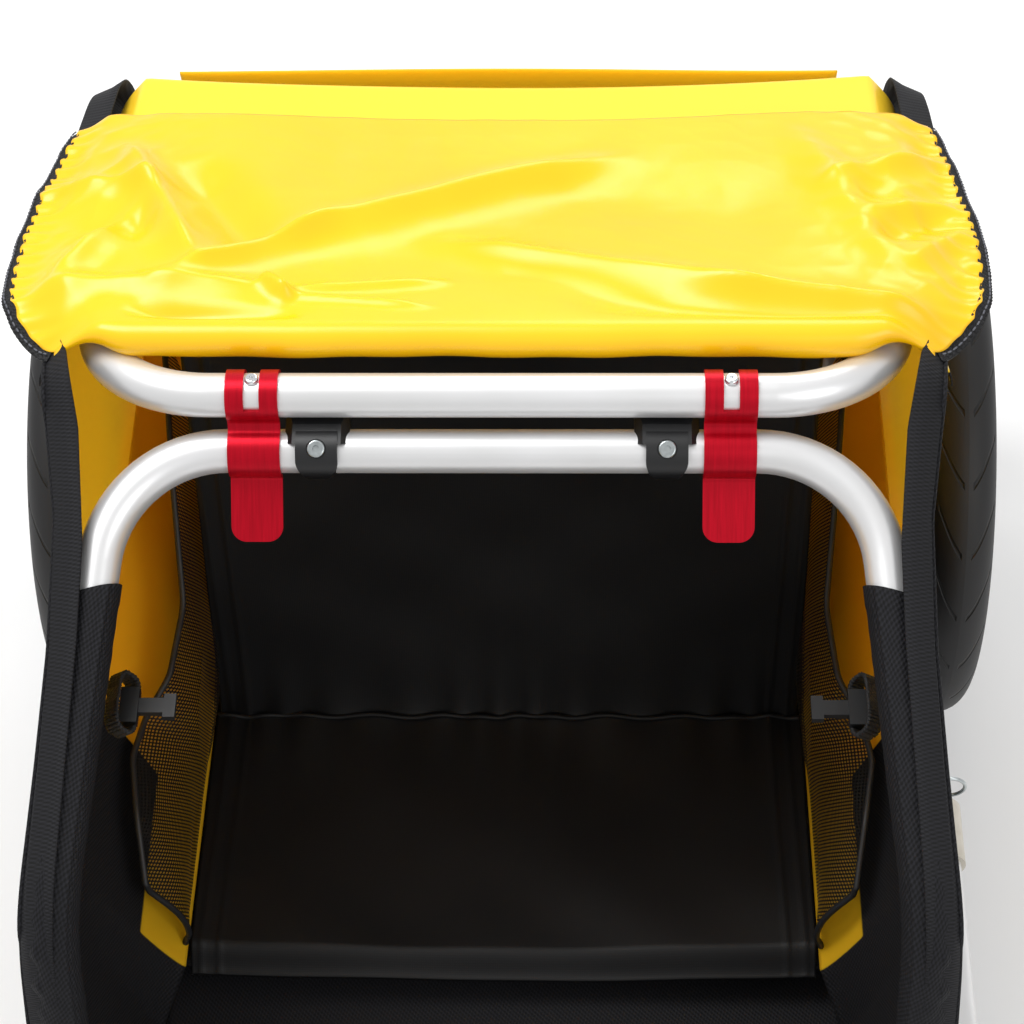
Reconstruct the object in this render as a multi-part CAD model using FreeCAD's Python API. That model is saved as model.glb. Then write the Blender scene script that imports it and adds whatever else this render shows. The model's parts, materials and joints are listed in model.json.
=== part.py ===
"""Child bicycle trailer: two folding hoops on a flat frame, two wheels, a plug-in tow bar and fabric.

Millimetres. X points to the trailer's left, Y to its rear and Z up from the ground.
"""

import FreeCAD, Part
import math
import os

os.makedirs("parts", exist_ok=True)
Vector = FreeCAD.Vector
ALONG_X = Vector(1, 0, 0)
ALONG_Y = Vector(0, 1, 0)
ALONG_Z = Vector(0, 0, 1)

# Tubes of the frame
TUBE_R = 12.7
TUBE_WALL = 2.0
RAIL_X = 244.0
WHEEL_R = 200.0
AXLE_TUBE_R = 14.3
RAIL_Z = WHEEL_R + AXLE_TUBE_R + TUBE_R
RAIL_FRONT_Y = -398.0
RAIL_REAR_Y = 523.0
CROSS_INSET = 18.0

# The two hoops. Each foot turns on a pin above the side rail.
PIN_R = 4.0
RUNNING_GAP = 0.05
PIVOT_Z = RAIL_Z + 37.0
FRONT_PIVOT_Y = -345.0
REAR_PIVOT_Y = 470.0
FRONT_BAR_Z = RAIL_Z + 416.0
FRONT_HALF_WIDTH = RAIL_X - 26.0
REAR_HALF_WIDTH = RAIL_X - 12.5
BAR_SPACING = 34.0
BAR_TILT = math.radians(31.3)
REAR_BAR_Y = BAR_SPACING * math.sin(BAR_TILT)
REAR_BAR_Z = FRONT_BAR_Z + BAR_SPACING * math.cos(BAR_TILT)
CORNER_R = 72.0
KNEE_R = 90.0
FRONT_SLOPE = math.radians(25)
FRONT_SLOPE_LENGTH = 270.0
REAR_SLOPE = math.radians(17)
REAR_SLOPE_LENGTH = 385.0

# Clips that join the two hoops, and the spacers bolted to the front one
CLIP_X = 136.0
CLIP_WIDTH = 30.0
CLIP_SHEET = 2.0
CLIP_SLOT = 9.0
CLIP_TAB_LENGTH = 35.0
CLIP_SLOT_BOTTOM = 110.0
HOOK_END = -45.0
ARCH_END = 158.0
LIP_R = 4.0
LIP_TURN = 83.0
SCREW_ANGLE = 29.0
BOLT_ANGLE = 65.0
SPACER_X = 100.0
SPACER_TONGUE = 24.0
SPACER_WIDTH = 37.0

# Wheels: 16 x 1.75 inch
TYRE_SECTION = 45.0
AXLE_Y = 345.0
AXLE_X = RAIL_X + 83.0
AXLE_PIN_R = 6.0
SPOKES = 20
RIM_SEAT_R = WHEEL_R - TYRE_SECTION
HUB_FLANGE_R = 24.0

# Plug-in tow bar, its socket and the hitch
TOW_X = RAIL_X + 58.0
TOW_Z = RAIL_Z - 14.0
TOW_R = 14.3
TOW_WALL = 2.0
SOCKET_FRONT_Y = -28.0
SOCKET_REAR_Y = 18.0
SOCKET_WALL = 3.2
GUIDE_Y = -290.0
LOCK_PIN_R = 3.0
LOCK_PIN_TRAVEL = 34.0
LOCK_PIN_Y = -5.0
HITCH_X = 120.0
HITCH_Y = -742.0
HITCH_PIN_Y = HITCH_Y - 62.0
AXLE_HOLE_R = 5.2

# Fabric
CLOTH = 2.4
SIDE_X = RAIL_X + 22.5
COVER_HALF_WIDTH = RAIL_X + 40.0
SEAT_HALF_WIDTH = RAIL_X - 41.0
SEAT_FRONT_Y = -130.0
SEAT_FRONT_Z = RAIL_Z + 41.0
SEAT_REAR_Y = 66.0
SEAT_REAR_Z = RAIL_Z + 23.0
BACK_TOP_Y = 146.0
BACK_TOP_Z = FRONT_BAR_Z - 83.0
SKIRT_TOP_Z = RAIL_Z + 103.0
APRON_TOP_Z = RAIL_Z + 103.0
POCKET_X = RAIL_X - 39.0
HOOK_X = RAIL_X - 33.0
HOOK_Y = -112.0
HOOK_Z = FRONT_BAR_Z - 98.0

FRONT_END_Y = HITCH_PIN_Y - 46.0
REAR_END_Y = AXLE_Y + WHEEL_R
ORIGIN_Y = (FRONT_END_Y + REAR_END_Y) / 2


def save(name, shape):
    """Writes one piece, moved so that the frame's origin is under the middle of the whole trailer."""
    shape = shape.copy()
    shape.translate(Vector(0, -ORIGIN_Y, 0))
    shape.exportStep(os.path.join("parts", name + ".step"))


def box(x0, x1, y0, y1, z0, z1):
    return Part.makeBox(x1 - x0, y1 - y0, z1 - z0, Vector(x0, y0, z0))


def rod(radius, start, end):
    start, end = Vector(*start), Vector(*end)
    return Part.makeCylinder(radius, (end - start).Length, start, end - start)


def pipe(radius, wall, start, end):
    return rod(radius, start, end).cut(rod(radius - wall, start, end))


def joined(shapes):
    first, rest = shapes[0], shapes[1:]
    return first.fuse(rest).removeSplitter() if rest else first


def in_side_plane(points, x0, x1):
    """A prism from x0 to x1 whose outline is a list of (y, z) points."""
    corners = [Vector(x0, y, z) for y, z in points]
    face = Part.Face(Part.makePolygon(corners + corners[:1]))
    return face.extrude(Vector(x1 - x0, 0, 0))


def rounded_route(corners, radii):
    """A wire through the corners, with each inner one rounded to its radius."""
    corners = [Vector(*c) for c in corners]
    edges = []
    last = corners[0]
    for before, corner, after, radius in zip(corners, corners[1:], corners[2:], radii):
        to_before = (before - corner).normalize()
        to_after = (after - corner).normalize()
        half = to_before.getAngle(to_after) / 2
        reach = radius / math.tan(half)
        start = corner + to_before * reach
        end = corner + to_after * reach
        middle_way = (to_before + to_after).normalize()
        middle = corner + middle_way * (radius / math.sin(half) - radius)
        edges.append(Part.LineSegment(last, start).toShape())
        edges.append(Part.Arc(start, middle, end).toShape())
        last = end
    edges.append(Part.LineSegment(last, corners[-1]).toShape())
    return Part.Wire(edges)


def swept(route, radius):
    start = route.Edges[0].Vertexes[0].Point
    way = route.Edges[0].Vertexes[1].Point - start
    ring = Part.Wire(Part.Circle(start, way, radius).toShape())
    return route.makePipeShell([ring], True, False)


def bent_tube(corners, radii, radius, wall):
    route = rounded_route(corners, radii)
    return swept(route, radius).cut(swept(route, radius - wall))


def mirrored(shape):
    return shape.mirror(Vector(0, 0, 0), ALONG_X)


def both_sides(name, left_shape):
    save(name + "_left", left_shape)
    save(name + "_right", mirrored(left_shape))


def pair(*left_shapes):
    """One node's worth of pieces: those on the left and their mirror images."""
    return Part.makeCompound(list(left_shapes) + [mirrored(shape) for shape in left_shapes])


# Flat frame

def side_rail():
    ends = (RAIL_FRONT_Y, RAIL_REAR_Y)
    rail = pipe(TUBE_R, TUBE_WALL, (RAIL_X, ends[0], RAIL_Z), (RAIL_X, ends[1], RAIL_Z))
    return rail


def rail_caps():
    """Plastic plugs in the four open ends of the side rails."""
    plugs = []
    for x in (-RAIL_X, RAIL_X):
        for y, way in ((RAIL_FRONT_Y, -1), (RAIL_REAR_Y, 1)):
            head = rod(TUBE_R, (x, y, RAIL_Z), (x, y + way * 3, RAIL_Z))
            plug = rod(TUBE_R - TUBE_WALL, (x, y - way * 14, RAIL_Z), (x, y, RAIL_Z))
            plugs.append(joined([head, plug]))
    return Part.makeCompound(plugs)


def cross_tube(y):
    end = RAIL_X - TUBE_WALL
    tube = pipe(TUBE_R, TUBE_WALL, (-end, y, RAIL_Z), (end, y, RAIL_Z))
    for x in (-RAIL_X, RAIL_X):
        tube = tube.cut(rod(TUBE_R, (x, y - 40, RAIL_Z), (x, y + 40, RAIL_Z)))
    return tube


def axle_tube():
    end = RAIL_X + TUBE_R + 6
    return pipe(AXLE_TUBE_R, TUBE_WALL, (-end, AXLE_Y, WHEEL_R), (end, AXLE_Y, WHEEL_R))


def axle_saddle():
    """The cast block that holds the axle tube under a side rail."""
    z = RAIL_Z - TUBE_R - AXLE_TUBE_R
    block = box(RAIL_X - 21, RAIL_X + 17, AXLE_Y - 26, AXLE_Y + 26, z - 17, RAIL_Z - 3)
    block = block.makeFillet(5, [e for e in block.Edges if abs(e.tangentAt(0).x) > 0.9])
    block = block.cut(rod(TUBE_R, (RAIL_X, AXLE_Y - 60, RAIL_Z), (RAIL_X, AXLE_Y + 60, RAIL_Z)))
    return block.cut(rod(AXLE_TUBE_R, (RAIL_X - 60, AXLE_Y, z), (RAIL_X + 60, AXLE_Y, z)))


def hoop_bracket(y):
    """The forked bracket that straddles a hoop's foot and sits on the side rail."""
    half_gap = TUBE_R + 0.6
    half_out = half_gap + 4.5
    half_length = 20.0
    body = box(RAIL_X - half_out, RAIL_X + half_out, y - half_length, y + half_length, RAIL_Z, PIVOT_Z)
    head = rod(half_length, (RAIL_X - half_out, y, PIVOT_Z), (RAIL_X + half_out, y, PIVOT_Z))
    head = head.common(box(0, 2 * RAIL_X, y - 30, y + 30, PIVOT_Z - 1, PIVOT_Z + 13))
    bracket = joined([body, head])
    slot_floor = RAIL_Z + TUBE_R + 5
    bracket = bracket.cut(
        box(RAIL_X - half_gap, RAIL_X + half_gap, y - 30, y + 30, slot_floor, PIVOT_Z + 40)
    )
    bracket = bracket.cut(rod(TUBE_R, (RAIL_X, y - 30, RAIL_Z), (RAIL_X, y + 30, RAIL_Z)))
    return bracket.cut(rod(PIN_R, (RAIL_X - 40, y, PIVOT_Z), (RAIL_X + 40, y, PIVOT_Z)))


def pivot_pin(x, y):
    half = TUBE_R + 0.6 + 4.5
    shaft = rod(PIN_R, (x - half - 2, y, PIVOT_Z), (x + half + 2, y, PIVOT_Z))
    heads = [
        rod(7, (x + side * half, y, PIVOT_Z), (x + side * (half + 3.5), y, PIVOT_Z))
        for side in (-1, 1)
    ]
    return joined([shaft] + heads)


def pivot_pins():
    places = [(x, y) for x in (-RAIL_X, RAIL_X) for y in (FRONT_PIVOT_Y, REAR_PIVOT_Y)]
    return Part.makeCompound([pivot_pin(x, y) for x, y in places])


def floor_panel():
    half = RAIL_X - 19
    inset = CROSS_INSET + TUBE_R + 1
    return box(-half, half, RAIL_FRONT_Y + inset, RAIL_REAR_Y - inset, RAIL_Z - 2, RAIL_Z + 2)


# Hoops

def hoop(bar_y, bar_z, half_width, slope, slope_length, way, pivot_y):
    """A bent tube: a crossbar, two sloping rails and two legs whose feet are drilled for the pivot pin.

    way is -1 for the hoop whose rails run to the front and 1 for the one whose rails run to the rear.
    """
    knee_y = bar_y + way * slope_length * math.cos(slope)
    knee_z = bar_z - slope_length * math.sin(slope)
    leg = Vector(0, knee_y - pivot_y, knee_z - PIVOT_Z).normalize()
    foot_y = pivot_y - leg.y * 9
    foot_z = PIVOT_Z - leg.z * 9
    corners = [
        (-RAIL_X, foot_y, foot_z),
        (-RAIL_X, knee_y, knee_z),
        (-half_width, bar_y, bar_z),
        (half_width, bar_y, bar_z),
        (RAIL_X, knee_y, knee_z),
        (RAIL_X, foot_y, foot_z),
    ]
    tube = bent_tube(corners, [KNEE_R, CORNER_R, CORNER_R, KNEE_R], TUBE_R, TUBE_WALL)
    for x in (-RAIL_X, RAIL_X):
        drill = rod(PIN_R + RUNNING_GAP, (x - 20, pivot_y, PIVOT_Z), (x + 20, pivot_y, PIVOT_Z))
        tube = tube.cut(drill)
    return tube


def front_hoop():
    return hoop(0, FRONT_BAR_Z, FRONT_HALF_WIDTH, FRONT_SLOPE, FRONT_SLOPE_LENGTH, -1, FRONT_PIVOT_Y)


def rear_hoop():
    return hoop(
        REAR_BAR_Y, REAR_BAR_Z, REAR_HALF_WIDTH, REAR_SLOPE, REAR_SLOPE_LENGTH, 1, REAR_PIVOT_Y
    )


# Clips and spacers. Their section lies in a plane across the crossbars, where "along" runs from the
# front crossbar to the rear one and "out" points away from the trailer, forwards and up.

ALONG_BARS = Vector(0, math.sin(BAR_TILT), math.cos(BAR_TILT))
OUT_OF_BARS = Vector(0, -math.cos(BAR_TILT), math.sin(BAR_TILT))


def at(x, along, out):
    return Vector(x, 0, FRONT_BAR_Z) + ALONG_BARS * along + OUT_OF_BARS * out


def on_circle(x, centre, radius, degrees):
    angle = math.radians(degrees)
    return at(x, centre + radius * math.cos(angle), radius * math.sin(angle))


def arc_between(x, centre, radius, start, end):
    """An arc about a crossbar's axis, from one angle to another, as an edge."""
    middle = (start + end) / 2
    points = [on_circle(x, centre, radius, a) for a in (start, middle, end)]
    return Part.Arc(*points).toShape()


def strip_face(offset):
    """The edges of one face of a clip's strip: the stated distance outwards from the middle of its sheet."""
    rear_r = TUBE_R + RUNNING_GAP + CLIP_SHEET / 2
    front_r = TUBE_R + 0.3 + CLIP_SHEET / 2
    dip_r = 6.0
    rear_reach = rear_r + dip_r
    front_reach = front_r + dip_r
    dip_along = (BAR_SPACING ** 2 + front_reach ** 2 - rear_reach ** 2) / (2 * BAR_SPACING)
    dip_out = math.sqrt(front_reach ** 2 - dip_along ** 2)
    front_touch = math.degrees(math.atan2(dip_out, dip_along))
    rear_touch = math.degrees(math.atan2(dip_out, dip_along - BAR_SPACING))

    hook = arc_between(0, BAR_SPACING, rear_r + offset, HOOK_END, rear_touch)
    dip_start = on_circle(0, BAR_SPACING, rear_r + offset, rear_touch)
    dip_low = at(0, dip_along, dip_out - dip_r + offset)
    dip_end = on_circle(0, 0, front_r + offset, front_touch)
    dip = Part.Arc(dip_start, dip_low, dip_end).toShape()
    arch = arc_between(0, 0, front_r + offset, front_touch, ARCH_END)

    lip_centre = on_circle(0, 0, front_r + LIP_R, ARCH_END)
    lip_points = []
    for turn in (0, LIP_TURN / 2, LIP_TURN):
        angle = math.radians(ARCH_END + 180 - turn)
        reach = LIP_R - offset
        lip_points.append(
            lip_centre + ALONG_BARS * (reach * math.cos(angle)) + OUT_OF_BARS * (reach * math.sin(angle))
        )
    lip = Part.Arc(*lip_points).toShape()
    tab_end = lip_points[2] + tab_way() * CLIP_TAB_LENGTH
    tab = Part.LineSegment(lip_points[2], tab_end).toShape()
    return [hook, dip, arch, lip, tab], on_circle(0, BAR_SPACING, rear_r + offset, HOOK_END), tab_end


def tab_way():
    """The direction in which a clip's finger tab points."""
    angle = math.radians(ARCH_END + 90 - LIP_TURN)
    return ALONG_BARS * math.cos(angle) + OUT_OF_BARS * math.sin(angle)


def clip(x):
    """A bent strip: it hooks round the rear crossbar, dips, arches over the front one and ends in a tab."""
    outer, outer_start, outer_end = strip_face(CLIP_SHEET / 2)
    inner, inner_start, inner_end = strip_face(-CLIP_SHEET / 2)
    ends = [
        Part.LineSegment(outer_start, inner_start).toShape(),
        Part.LineSegment(outer_end, inner_end).toShape(),
    ]
    outline = Part.Wire(Part.sortEdges(outer + inner + ends)[0])
    strip = Part.Face(outline).extrude(Vector(CLIP_WIDTH, 0, 0))
    strip.translate(Vector(x - CLIP_WIDTH / 2, 0, 0))
    tab_corners = []
    for edge in strip.Edges:
        middle = edge.CenterOfMass
        middle.x = 0
        if edge.Length < CLIP_SHEET + 0.1 and (middle - (outer_end + inner_end) * 0.5).Length < 0.1:
            tab_corners.append(edge)
    strip = strip.makeFillet(9, tab_corners)
    centre = at(x - CLIP_SLOT / 2, BAR_SPACING, 0)
    fan = [centre]
    for step in range(9):
        angle = HOOK_END - 10 + step * (CLIP_SLOT_BOTTOM - HOOK_END + 10) / 8
        fan.append(on_circle(x - CLIP_SLOT / 2, BAR_SPACING, 30, angle))
    slot = Part.Face(Part.makePolygon(fan + [centre])).extrude(Vector(CLIP_SLOT, 0, 0))
    return strip.cut(slot)


def outwards(degrees):
    """The direction that leaves a crossbar's axis at this angle."""
    angle = math.radians(degrees)
    return ALONG_BARS * math.cos(angle) + OUT_OF_BARS * math.sin(angle)


def cylinder_out(x, centre, degrees, radius, low, high):
    """A cylinder along a crossbar's radius, between two distances from the crossbar's axis."""
    way = outwards(degrees)
    base = at(x, centre, 0) + way * low
    return Part.makeCylinder(radius, high - low, base, way)


def clip_screw(x):
    shaft = cylinder_out(x, BAR_SPACING, SCREW_ANGLE, 1.9, 9, TUBE_R + 0.2)
    head = cylinder_out(x, BAR_SPACING, SCREW_ANGLE, 4.0, TUBE_R, TUBE_R + 2.8)
    rim = [e for e in head.Edges if (e.CenterOfMass - at(x, BAR_SPACING, 0)).Length > TUBE_R + 2]
    head = head.makeFillet(1.4, rim)
    recess = cylinder_out(x, BAR_SPACING, SCREW_ANGLE, 1.2, TUBE_R + 1.2, TUBE_R + 4)
    return joined([shaft, head]).cut(recess)


def clip_screws():
    return Part.makeCompound([clip_screw(x) for x in (-CLIP_X, CLIP_X)])


def crossbar_solid(centre, radius):
    return Part.makeCylinder(radius, 600, at(-300, centre, 0), ALONG_X)


def spacer(x):
    """A spacer: shoulders between the crossbars, and a round-ended tongue bolted over the front one."""
    low = -17.0
    high = 13.0
    tongue = Part.makeBox(SPACER_TONGUE, high - low, 30)
    corners = [e for e in tongue.Edges if abs(e.tangentAt(0).z) > 0.9 and e.CenterOfMass.y < 1]
    tongue = tongue.makeFillet(10, corners)
    out = outwards(BOLT_ANGLE)
    up = outwards(BOLT_ANGLE - 90)
    start = at(x - SPACER_TONGUE / 2, 0, 0) + up * low
    place = FreeCAD.Matrix(
        1, 0, 0, start.x,
        0, up.y, out.y, start.y,
        0, up.z, out.z, start.z,
        0, 0, 0, 1,
    )
    tongue = tongue.transformGeometry(place)
    tongue = tongue.common(crossbar_solid(0, TUBE_R + 3.3))
    section = [(2, -12), (20.6, -12), (21.6, -5), (19.3, 0), (17.7, 3), (9, 13)]
    corners = [at(x - SPACER_WIDTH / 2, a, o) for a, o in section]
    shoulders = Part.Face(Part.makePolygon(corners + corners[:1])).extrude(Vector(SPACER_WIDTH, 0, 0))
    near_out = [
        e for e in shoulders.Edges
        if abs(e.tangentAt(0).x) < 0.1 and (e.CenterOfMass - at(0, 0, 0)).dot(OUT_OF_BARS) > 4
    ]
    shoulders = shoulders.makeChamfer(4.5, near_out)
    whole = joined([tongue, shoulders])
    whole = whole.cut(crossbar_solid(0, TUBE_R))
    whole = whole.cut(crossbar_solid(BAR_SPACING, TUBE_R + 0.3))
    whole = whole.cut(cylinder_out(x, 0, BOLT_ANGLE, 5.7, TUBE_R + 2, TUBE_R + 9))
    return whole.cut(cylinder_out(x, 0, BOLT_ANGLE, 2.6, 8, 30))


def spacer_bolt(x):
    shaft = cylinder_out(x, 0, BOLT_ANGLE, 2.5, 9, TUBE_R + 2.2)
    head = cylinder_out(x, 0, BOLT_ANGLE, 5.2, TUBE_R + 2, TUBE_R + 4.8)
    rim = [e for e in head.Edges if (e.CenterOfMass - at(x, 0, 0)).Length > TUBE_R + 4]
    head = head.makeFillet(1.2, rim)
    socket = cylinder_out(x, 0, BOLT_ANGLE, 2.0, TUBE_R + 2.8, TUBE_R + 6)
    return joined([shaft, head]).cut(socket)


def spacer_bolts():
    return Part.makeCompound([spacer_bolt(x) for x in (-SPACER_X, SPACER_X)])


# Wheels, built for the left side

def turned(points, degrees=360):
    """A solid of revolution about the axle. The points are (distance from the wheel's middle, radius)."""
    corners = [Vector(AXLE_X + x, AXLE_Y, WHEEL_R + r) for x, r in points]
    face = Part.Face(Part.makePolygon(corners + corners[:1]))
    return face.revolve(Vector(0, AXLE_Y, WHEEL_R), ALONG_X, degrees)


def tyre():
    middle = Vector(AXLE_X, AXLE_Y, WHEEL_R)
    crown_r = WHEEL_R - TYRE_SECTION / 2
    outside = Part.makeTorus(crown_r, TYRE_SECTION / 2, middle, ALONG_X)
    inside = Part.makeTorus(crown_r, TYRE_SECTION / 2 - 3, middle, ALONG_X)
    well = Part.makeCylinder(RIM_SEAT_R + 7, 80, middle - ALONG_X * 40, ALONG_X)
    return outside.cut(inside).cut(well)


def rim():
    seat = RIM_SEAT_R + 7
    half = 15.0
    outline = [
        (-half, seat), (-half, seat - 8), (-8, seat - 15), (8, seat - 15), (half, seat - 8),
        (half, seat), (half - 4.5, seat), (half - 4.5, seat - 6), (4.5 - half, seat - 6), (4.5 - half, seat),
    ]
    return turned(outline)


def hub():
    bore = AXLE_PIN_R + RUNNING_GAP
    barrel = 14.0
    flange = HUB_FLANGE_R + 3
    outline = [
        (-29, bore), (-29, barrel), (-24, barrel), (-24, flange), (-20, flange), (-18, barrel),
        (18, barrel), (20, flange), (24, flange), (24, barrel), (29, barrel), (29, bore),
    ]
    return turned(outline)


def spokes():
    """Crossed spokes: each runs from a hub flange to the rim's middle, leaning a little forwards or back."""
    wires = []
    rim_r = RIM_SEAT_R + 7 - 13
    for i in range(SPOKES):
        side = -1 if i % 2 else 1
        lean = 0.55 if i % 4 < 2 else -0.55
        outer_angle = 2 * math.pi * (i + 0.5) / SPOKES
        inner_angle = outer_angle + lean
        ends = []
        for x, radius, angle in ((side * 22, HUB_FLANGE_R, inner_angle), (side * 3, rim_r, outer_angle)):
            y = AXLE_Y + radius * math.cos(angle)
            z = WHEEL_R + radius * math.sin(angle)
            ends.append((AXLE_X + x, y, z))
        wires.append(rod(1.0, *ends))
    return Part.makeCompound(wires)


def axle_pin():
    """The stub axle: it plugs into the axle tube, and its outer end is drilled for the release button."""
    outer_end = AXLE_X + 29 + 1
    pin = rod(AXLE_PIN_R, (RAIL_X - 44, AXLE_Y, WHEEL_R), (outer_end, AXLE_Y, WHEEL_R))
    cap = rod(10, (outer_end, AXLE_Y, WHEEL_R), (outer_end + 6, AXLE_Y, WHEEL_R))
    cap = cap.makeFillet(2, [e for e in cap.Edges if e.CenterOfMass.x > outer_end + 5])
    bore = rod(4 + RUNNING_GAP, (outer_end - 22, AXLE_Y, WHEEL_R), (outer_end + 10, AXLE_Y, WHEEL_R))
    return joined([pin, cap]).cut(bore)


def release_button():
    outer_end = AXLE_X + 29 + 1 + 6
    button = rod(4, (outer_end - 20, AXLE_Y, WHEEL_R), (outer_end + 4, AXLE_Y, WHEEL_R))
    return button.makeFillet(1.5, [e for e in button.Edges if e.CenterOfMass.x > outer_end + 3])


def axle_socket():
    start = (RAIL_X - 44, AXLE_Y, WHEEL_R)
    end = (RAIL_X + TUBE_R + 5, AXLE_Y, WHEEL_R)
    return rod(AXLE_TUBE_R - TUBE_WALL, start, end).cut(rod(AXLE_PIN_R, start, end))


def wheel_reflector():
    """A flat reflector between two spokes."""
    plate = box(AXLE_X - 4, AXLE_X + 4, AXLE_Y - 24, AXLE_Y + 24, WHEEL_R + 92, WHEEL_R + 122)
    return plate.makeFillet(3, [e for e in plate.Edges if abs(e.tangentAt(0).x) > 0.9])


def valve():
    """A valve stem that stands inwards from the rim."""
    z = WHEEL_R - RIM_SEAT_R + 8
    stem = rod(3.0, (AXLE_X, AXLE_Y, z), (AXLE_X, AXLE_Y, z + 22))
    cap = rod(4.2, (AXLE_X, AXLE_Y, z + 22), (AXLE_X, AXLE_Y, z + 34))
    return joined([stem, cap])


# Tow bar

def tow_socket():
    """The socket on the left side rail: a short thick tube on a web, and a flange bolted to the rail."""
    outer = TOW_R + RUNNING_GAP + SOCKET_WALL
    ends = ((TOW_X, SOCKET_FRONT_Y, TOW_Z), (TOW_X, SOCKET_REAR_Y, TOW_Z))
    tube = rod(outer, *ends)
    rail_side = RAIL_X + TUBE_R
    web = box(rail_side + 2, TOW_X, SOCKET_FRONT_Y + 3, SOCKET_REAR_Y - 3, TOW_Z + 4, TOW_Z + 14)
    flange = box(rail_side, rail_side + 6, SOCKET_FRONT_Y - 12, SOCKET_REAR_Y + 12, TOW_Z + 2, TOW_Z + 26)
    flange = flange.makeFillet(4, [e for e in flange.Edges if abs(e.tangentAt(0).x) > 0.9])
    body = joined([tube, web, flange]).cut(rod(TOW_R + RUNNING_GAP, *ends))
    for y in (SOCKET_FRONT_Y - 5, SOCKET_REAR_Y + 5):
        body = body.cut(rod(3, (RAIL_X, y, RAIL_Z), (RAIL_X + 40, y, RAIL_Z)))
    top = TOW_Z + outer + 10
    return body.cut(rod(LOCK_PIN_R + 0.1, (TOW_X, LOCK_PIN_Y, TOW_Z - 30), (TOW_X, LOCK_PIN_Y, top)))


def socket_bolts():
    bolts = []
    face = RAIL_X + TUBE_R + 6
    for y in (SOCKET_FRONT_Y - 5, SOCKET_REAR_Y + 5):
        head = rod(5, (face, y, RAIL_Z), (face + 4, y, RAIL_Z))
        shaft = rod(3, (RAIL_X + TUBE_R, y, RAIL_Z), (face, y, RAIL_Z))
        hollow = rod(2, (face + 2, y, RAIL_Z), (face + 5, y, RAIL_Z))
        bolts.append(joined([head, shaft]).cut(hollow))
    return Part.makeCompound(bolts)


def tow_guide():
    """The forward guide: a plastic ring for the tow bar on a block that grips the side rail."""
    outer = TOW_R + 4.5
    ring = rod(outer, (TOW_X, GUIDE_Y - 11, TOW_Z), (TOW_X, GUIDE_Y + 11, TOW_Z))
    grip = rod(TUBE_R + 4.5, (RAIL_X, GUIDE_Y - 11, RAIL_Z), (RAIL_X, GUIDE_Y + 11, RAIL_Z))
    bridge = box(RAIL_X + 8, TOW_X - 8, GUIDE_Y - 11, GUIDE_Y + 11, TOW_Z + 1, TOW_Z + 12)
    body = joined([ring, grip, bridge])
    body = body.cut(rod(TOW_R + RUNNING_GAP, (TOW_X, GUIDE_Y - 20, TOW_Z), (TOW_X, GUIDE_Y + 20, TOW_Z)))
    return body.cut(rod(TUBE_R, (RAIL_X, GUIDE_Y - 20, RAIL_Z), (RAIL_X, GUIDE_Y + 20, RAIL_Z)))


def tow_bar():
    corners = [
        (TOW_X, SOCKET_REAR_Y - 3, TOW_Z),
        (TOW_X, HITCH_Y + 270, TOW_Z),
        (HITCH_X, HITCH_Y + 62, TOW_Z + 34),
        (HITCH_X, HITCH_Y, TOW_Z + 34),
    ]
    bar = bent_tube(corners, [140, 90], TOW_R, TOW_WALL)
    return bar.cut(rod(LOCK_PIN_R + 0.2, (TOW_X, LOCK_PIN_Y, TOW_Z - 30), (TOW_X, LOCK_PIN_Y, TOW_Z + 30)))


def lock_pin():
    """The tow bar's lock pin, drawn up, with its eye."""
    nose = TOW_Z + TOW_R + 0.9
    head = TOW_Z + TOW_R + SOCKET_WALL + LOCK_PIN_TRAVEL + 2
    shaft = rod(LOCK_PIN_R, (TOW_X, LOCK_PIN_Y, nose), (TOW_X, LOCK_PIN_Y, head))
    eye = rod(5.0, (TOW_X - 2, LOCK_PIN_Y, head + 3.5), (TOW_X + 2, LOCK_PIN_Y, head + 3.5))
    hole = rod(1.8, (TOW_X - 9, LOCK_PIN_Y, head + 3.5), (TOW_X + 9, LOCK_PIN_Y, head + 3.5))
    return joined([shaft, eye]).cut(hole)


def pull_ring():
    """A ring of round wire through the lock pin's eye."""
    head = TOW_Z + TOW_R + SOCKET_WALL + LOCK_PIN_TRAVEL + 2
    ring_r = 11.0
    return Part.makeTorus(ring_r, 1.3, Vector(TOW_X, LOCK_PIN_Y, head + 3.5 + ring_r), ALONG_Y)


def flex_coupling():
    """The rubber coupling between the tow bar and the hitch, with a stem pushed into the bar."""
    z = TOW_Z + 34
    y = HITCH_Y
    stem = rod(TOW_R - TOW_WALL, (HITCH_X, y, z), (HITCH_X, y + 16, z))
    collar = rod(TOW_R + 3, (HITCH_X, y - 8, z), (HITCH_X, y, z))
    waist = rod(TOW_R - 2, (HITCH_X, y - 34, z), (HITCH_X, y - 8, z))
    nose = rod(TOW_R + 3, (HITCH_X, y - 42, z), (HITCH_X, y - 34, z))
    return joined([stem, collar, waist, nose])


def hitch_tongue():
    """A steel eye on the front of the coupling, drilled for the hitch pin."""
    z = TOW_Z + 34
    front = HITCH_Y - 42
    plate = rod(TOW_R + 3, (HITCH_X, front - 4, z), (HITCH_X, front, z))
    neck = box(HITCH_X - 11, HITCH_X + 11, HITCH_PIN_Y, front - 4, z - 4, z + 4)
    eye = rod(11, (HITCH_X, HITCH_PIN_Y, z - 4), (HITCH_X, HITCH_PIN_Y, z + 4))
    bore = rod(PIN_R + RUNNING_GAP, (HITCH_X, HITCH_PIN_Y, z - 30), (HITCH_X, HITCH_PIN_Y, z + 30))
    return joined([plate, neck, eye]).cut(bore)


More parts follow.
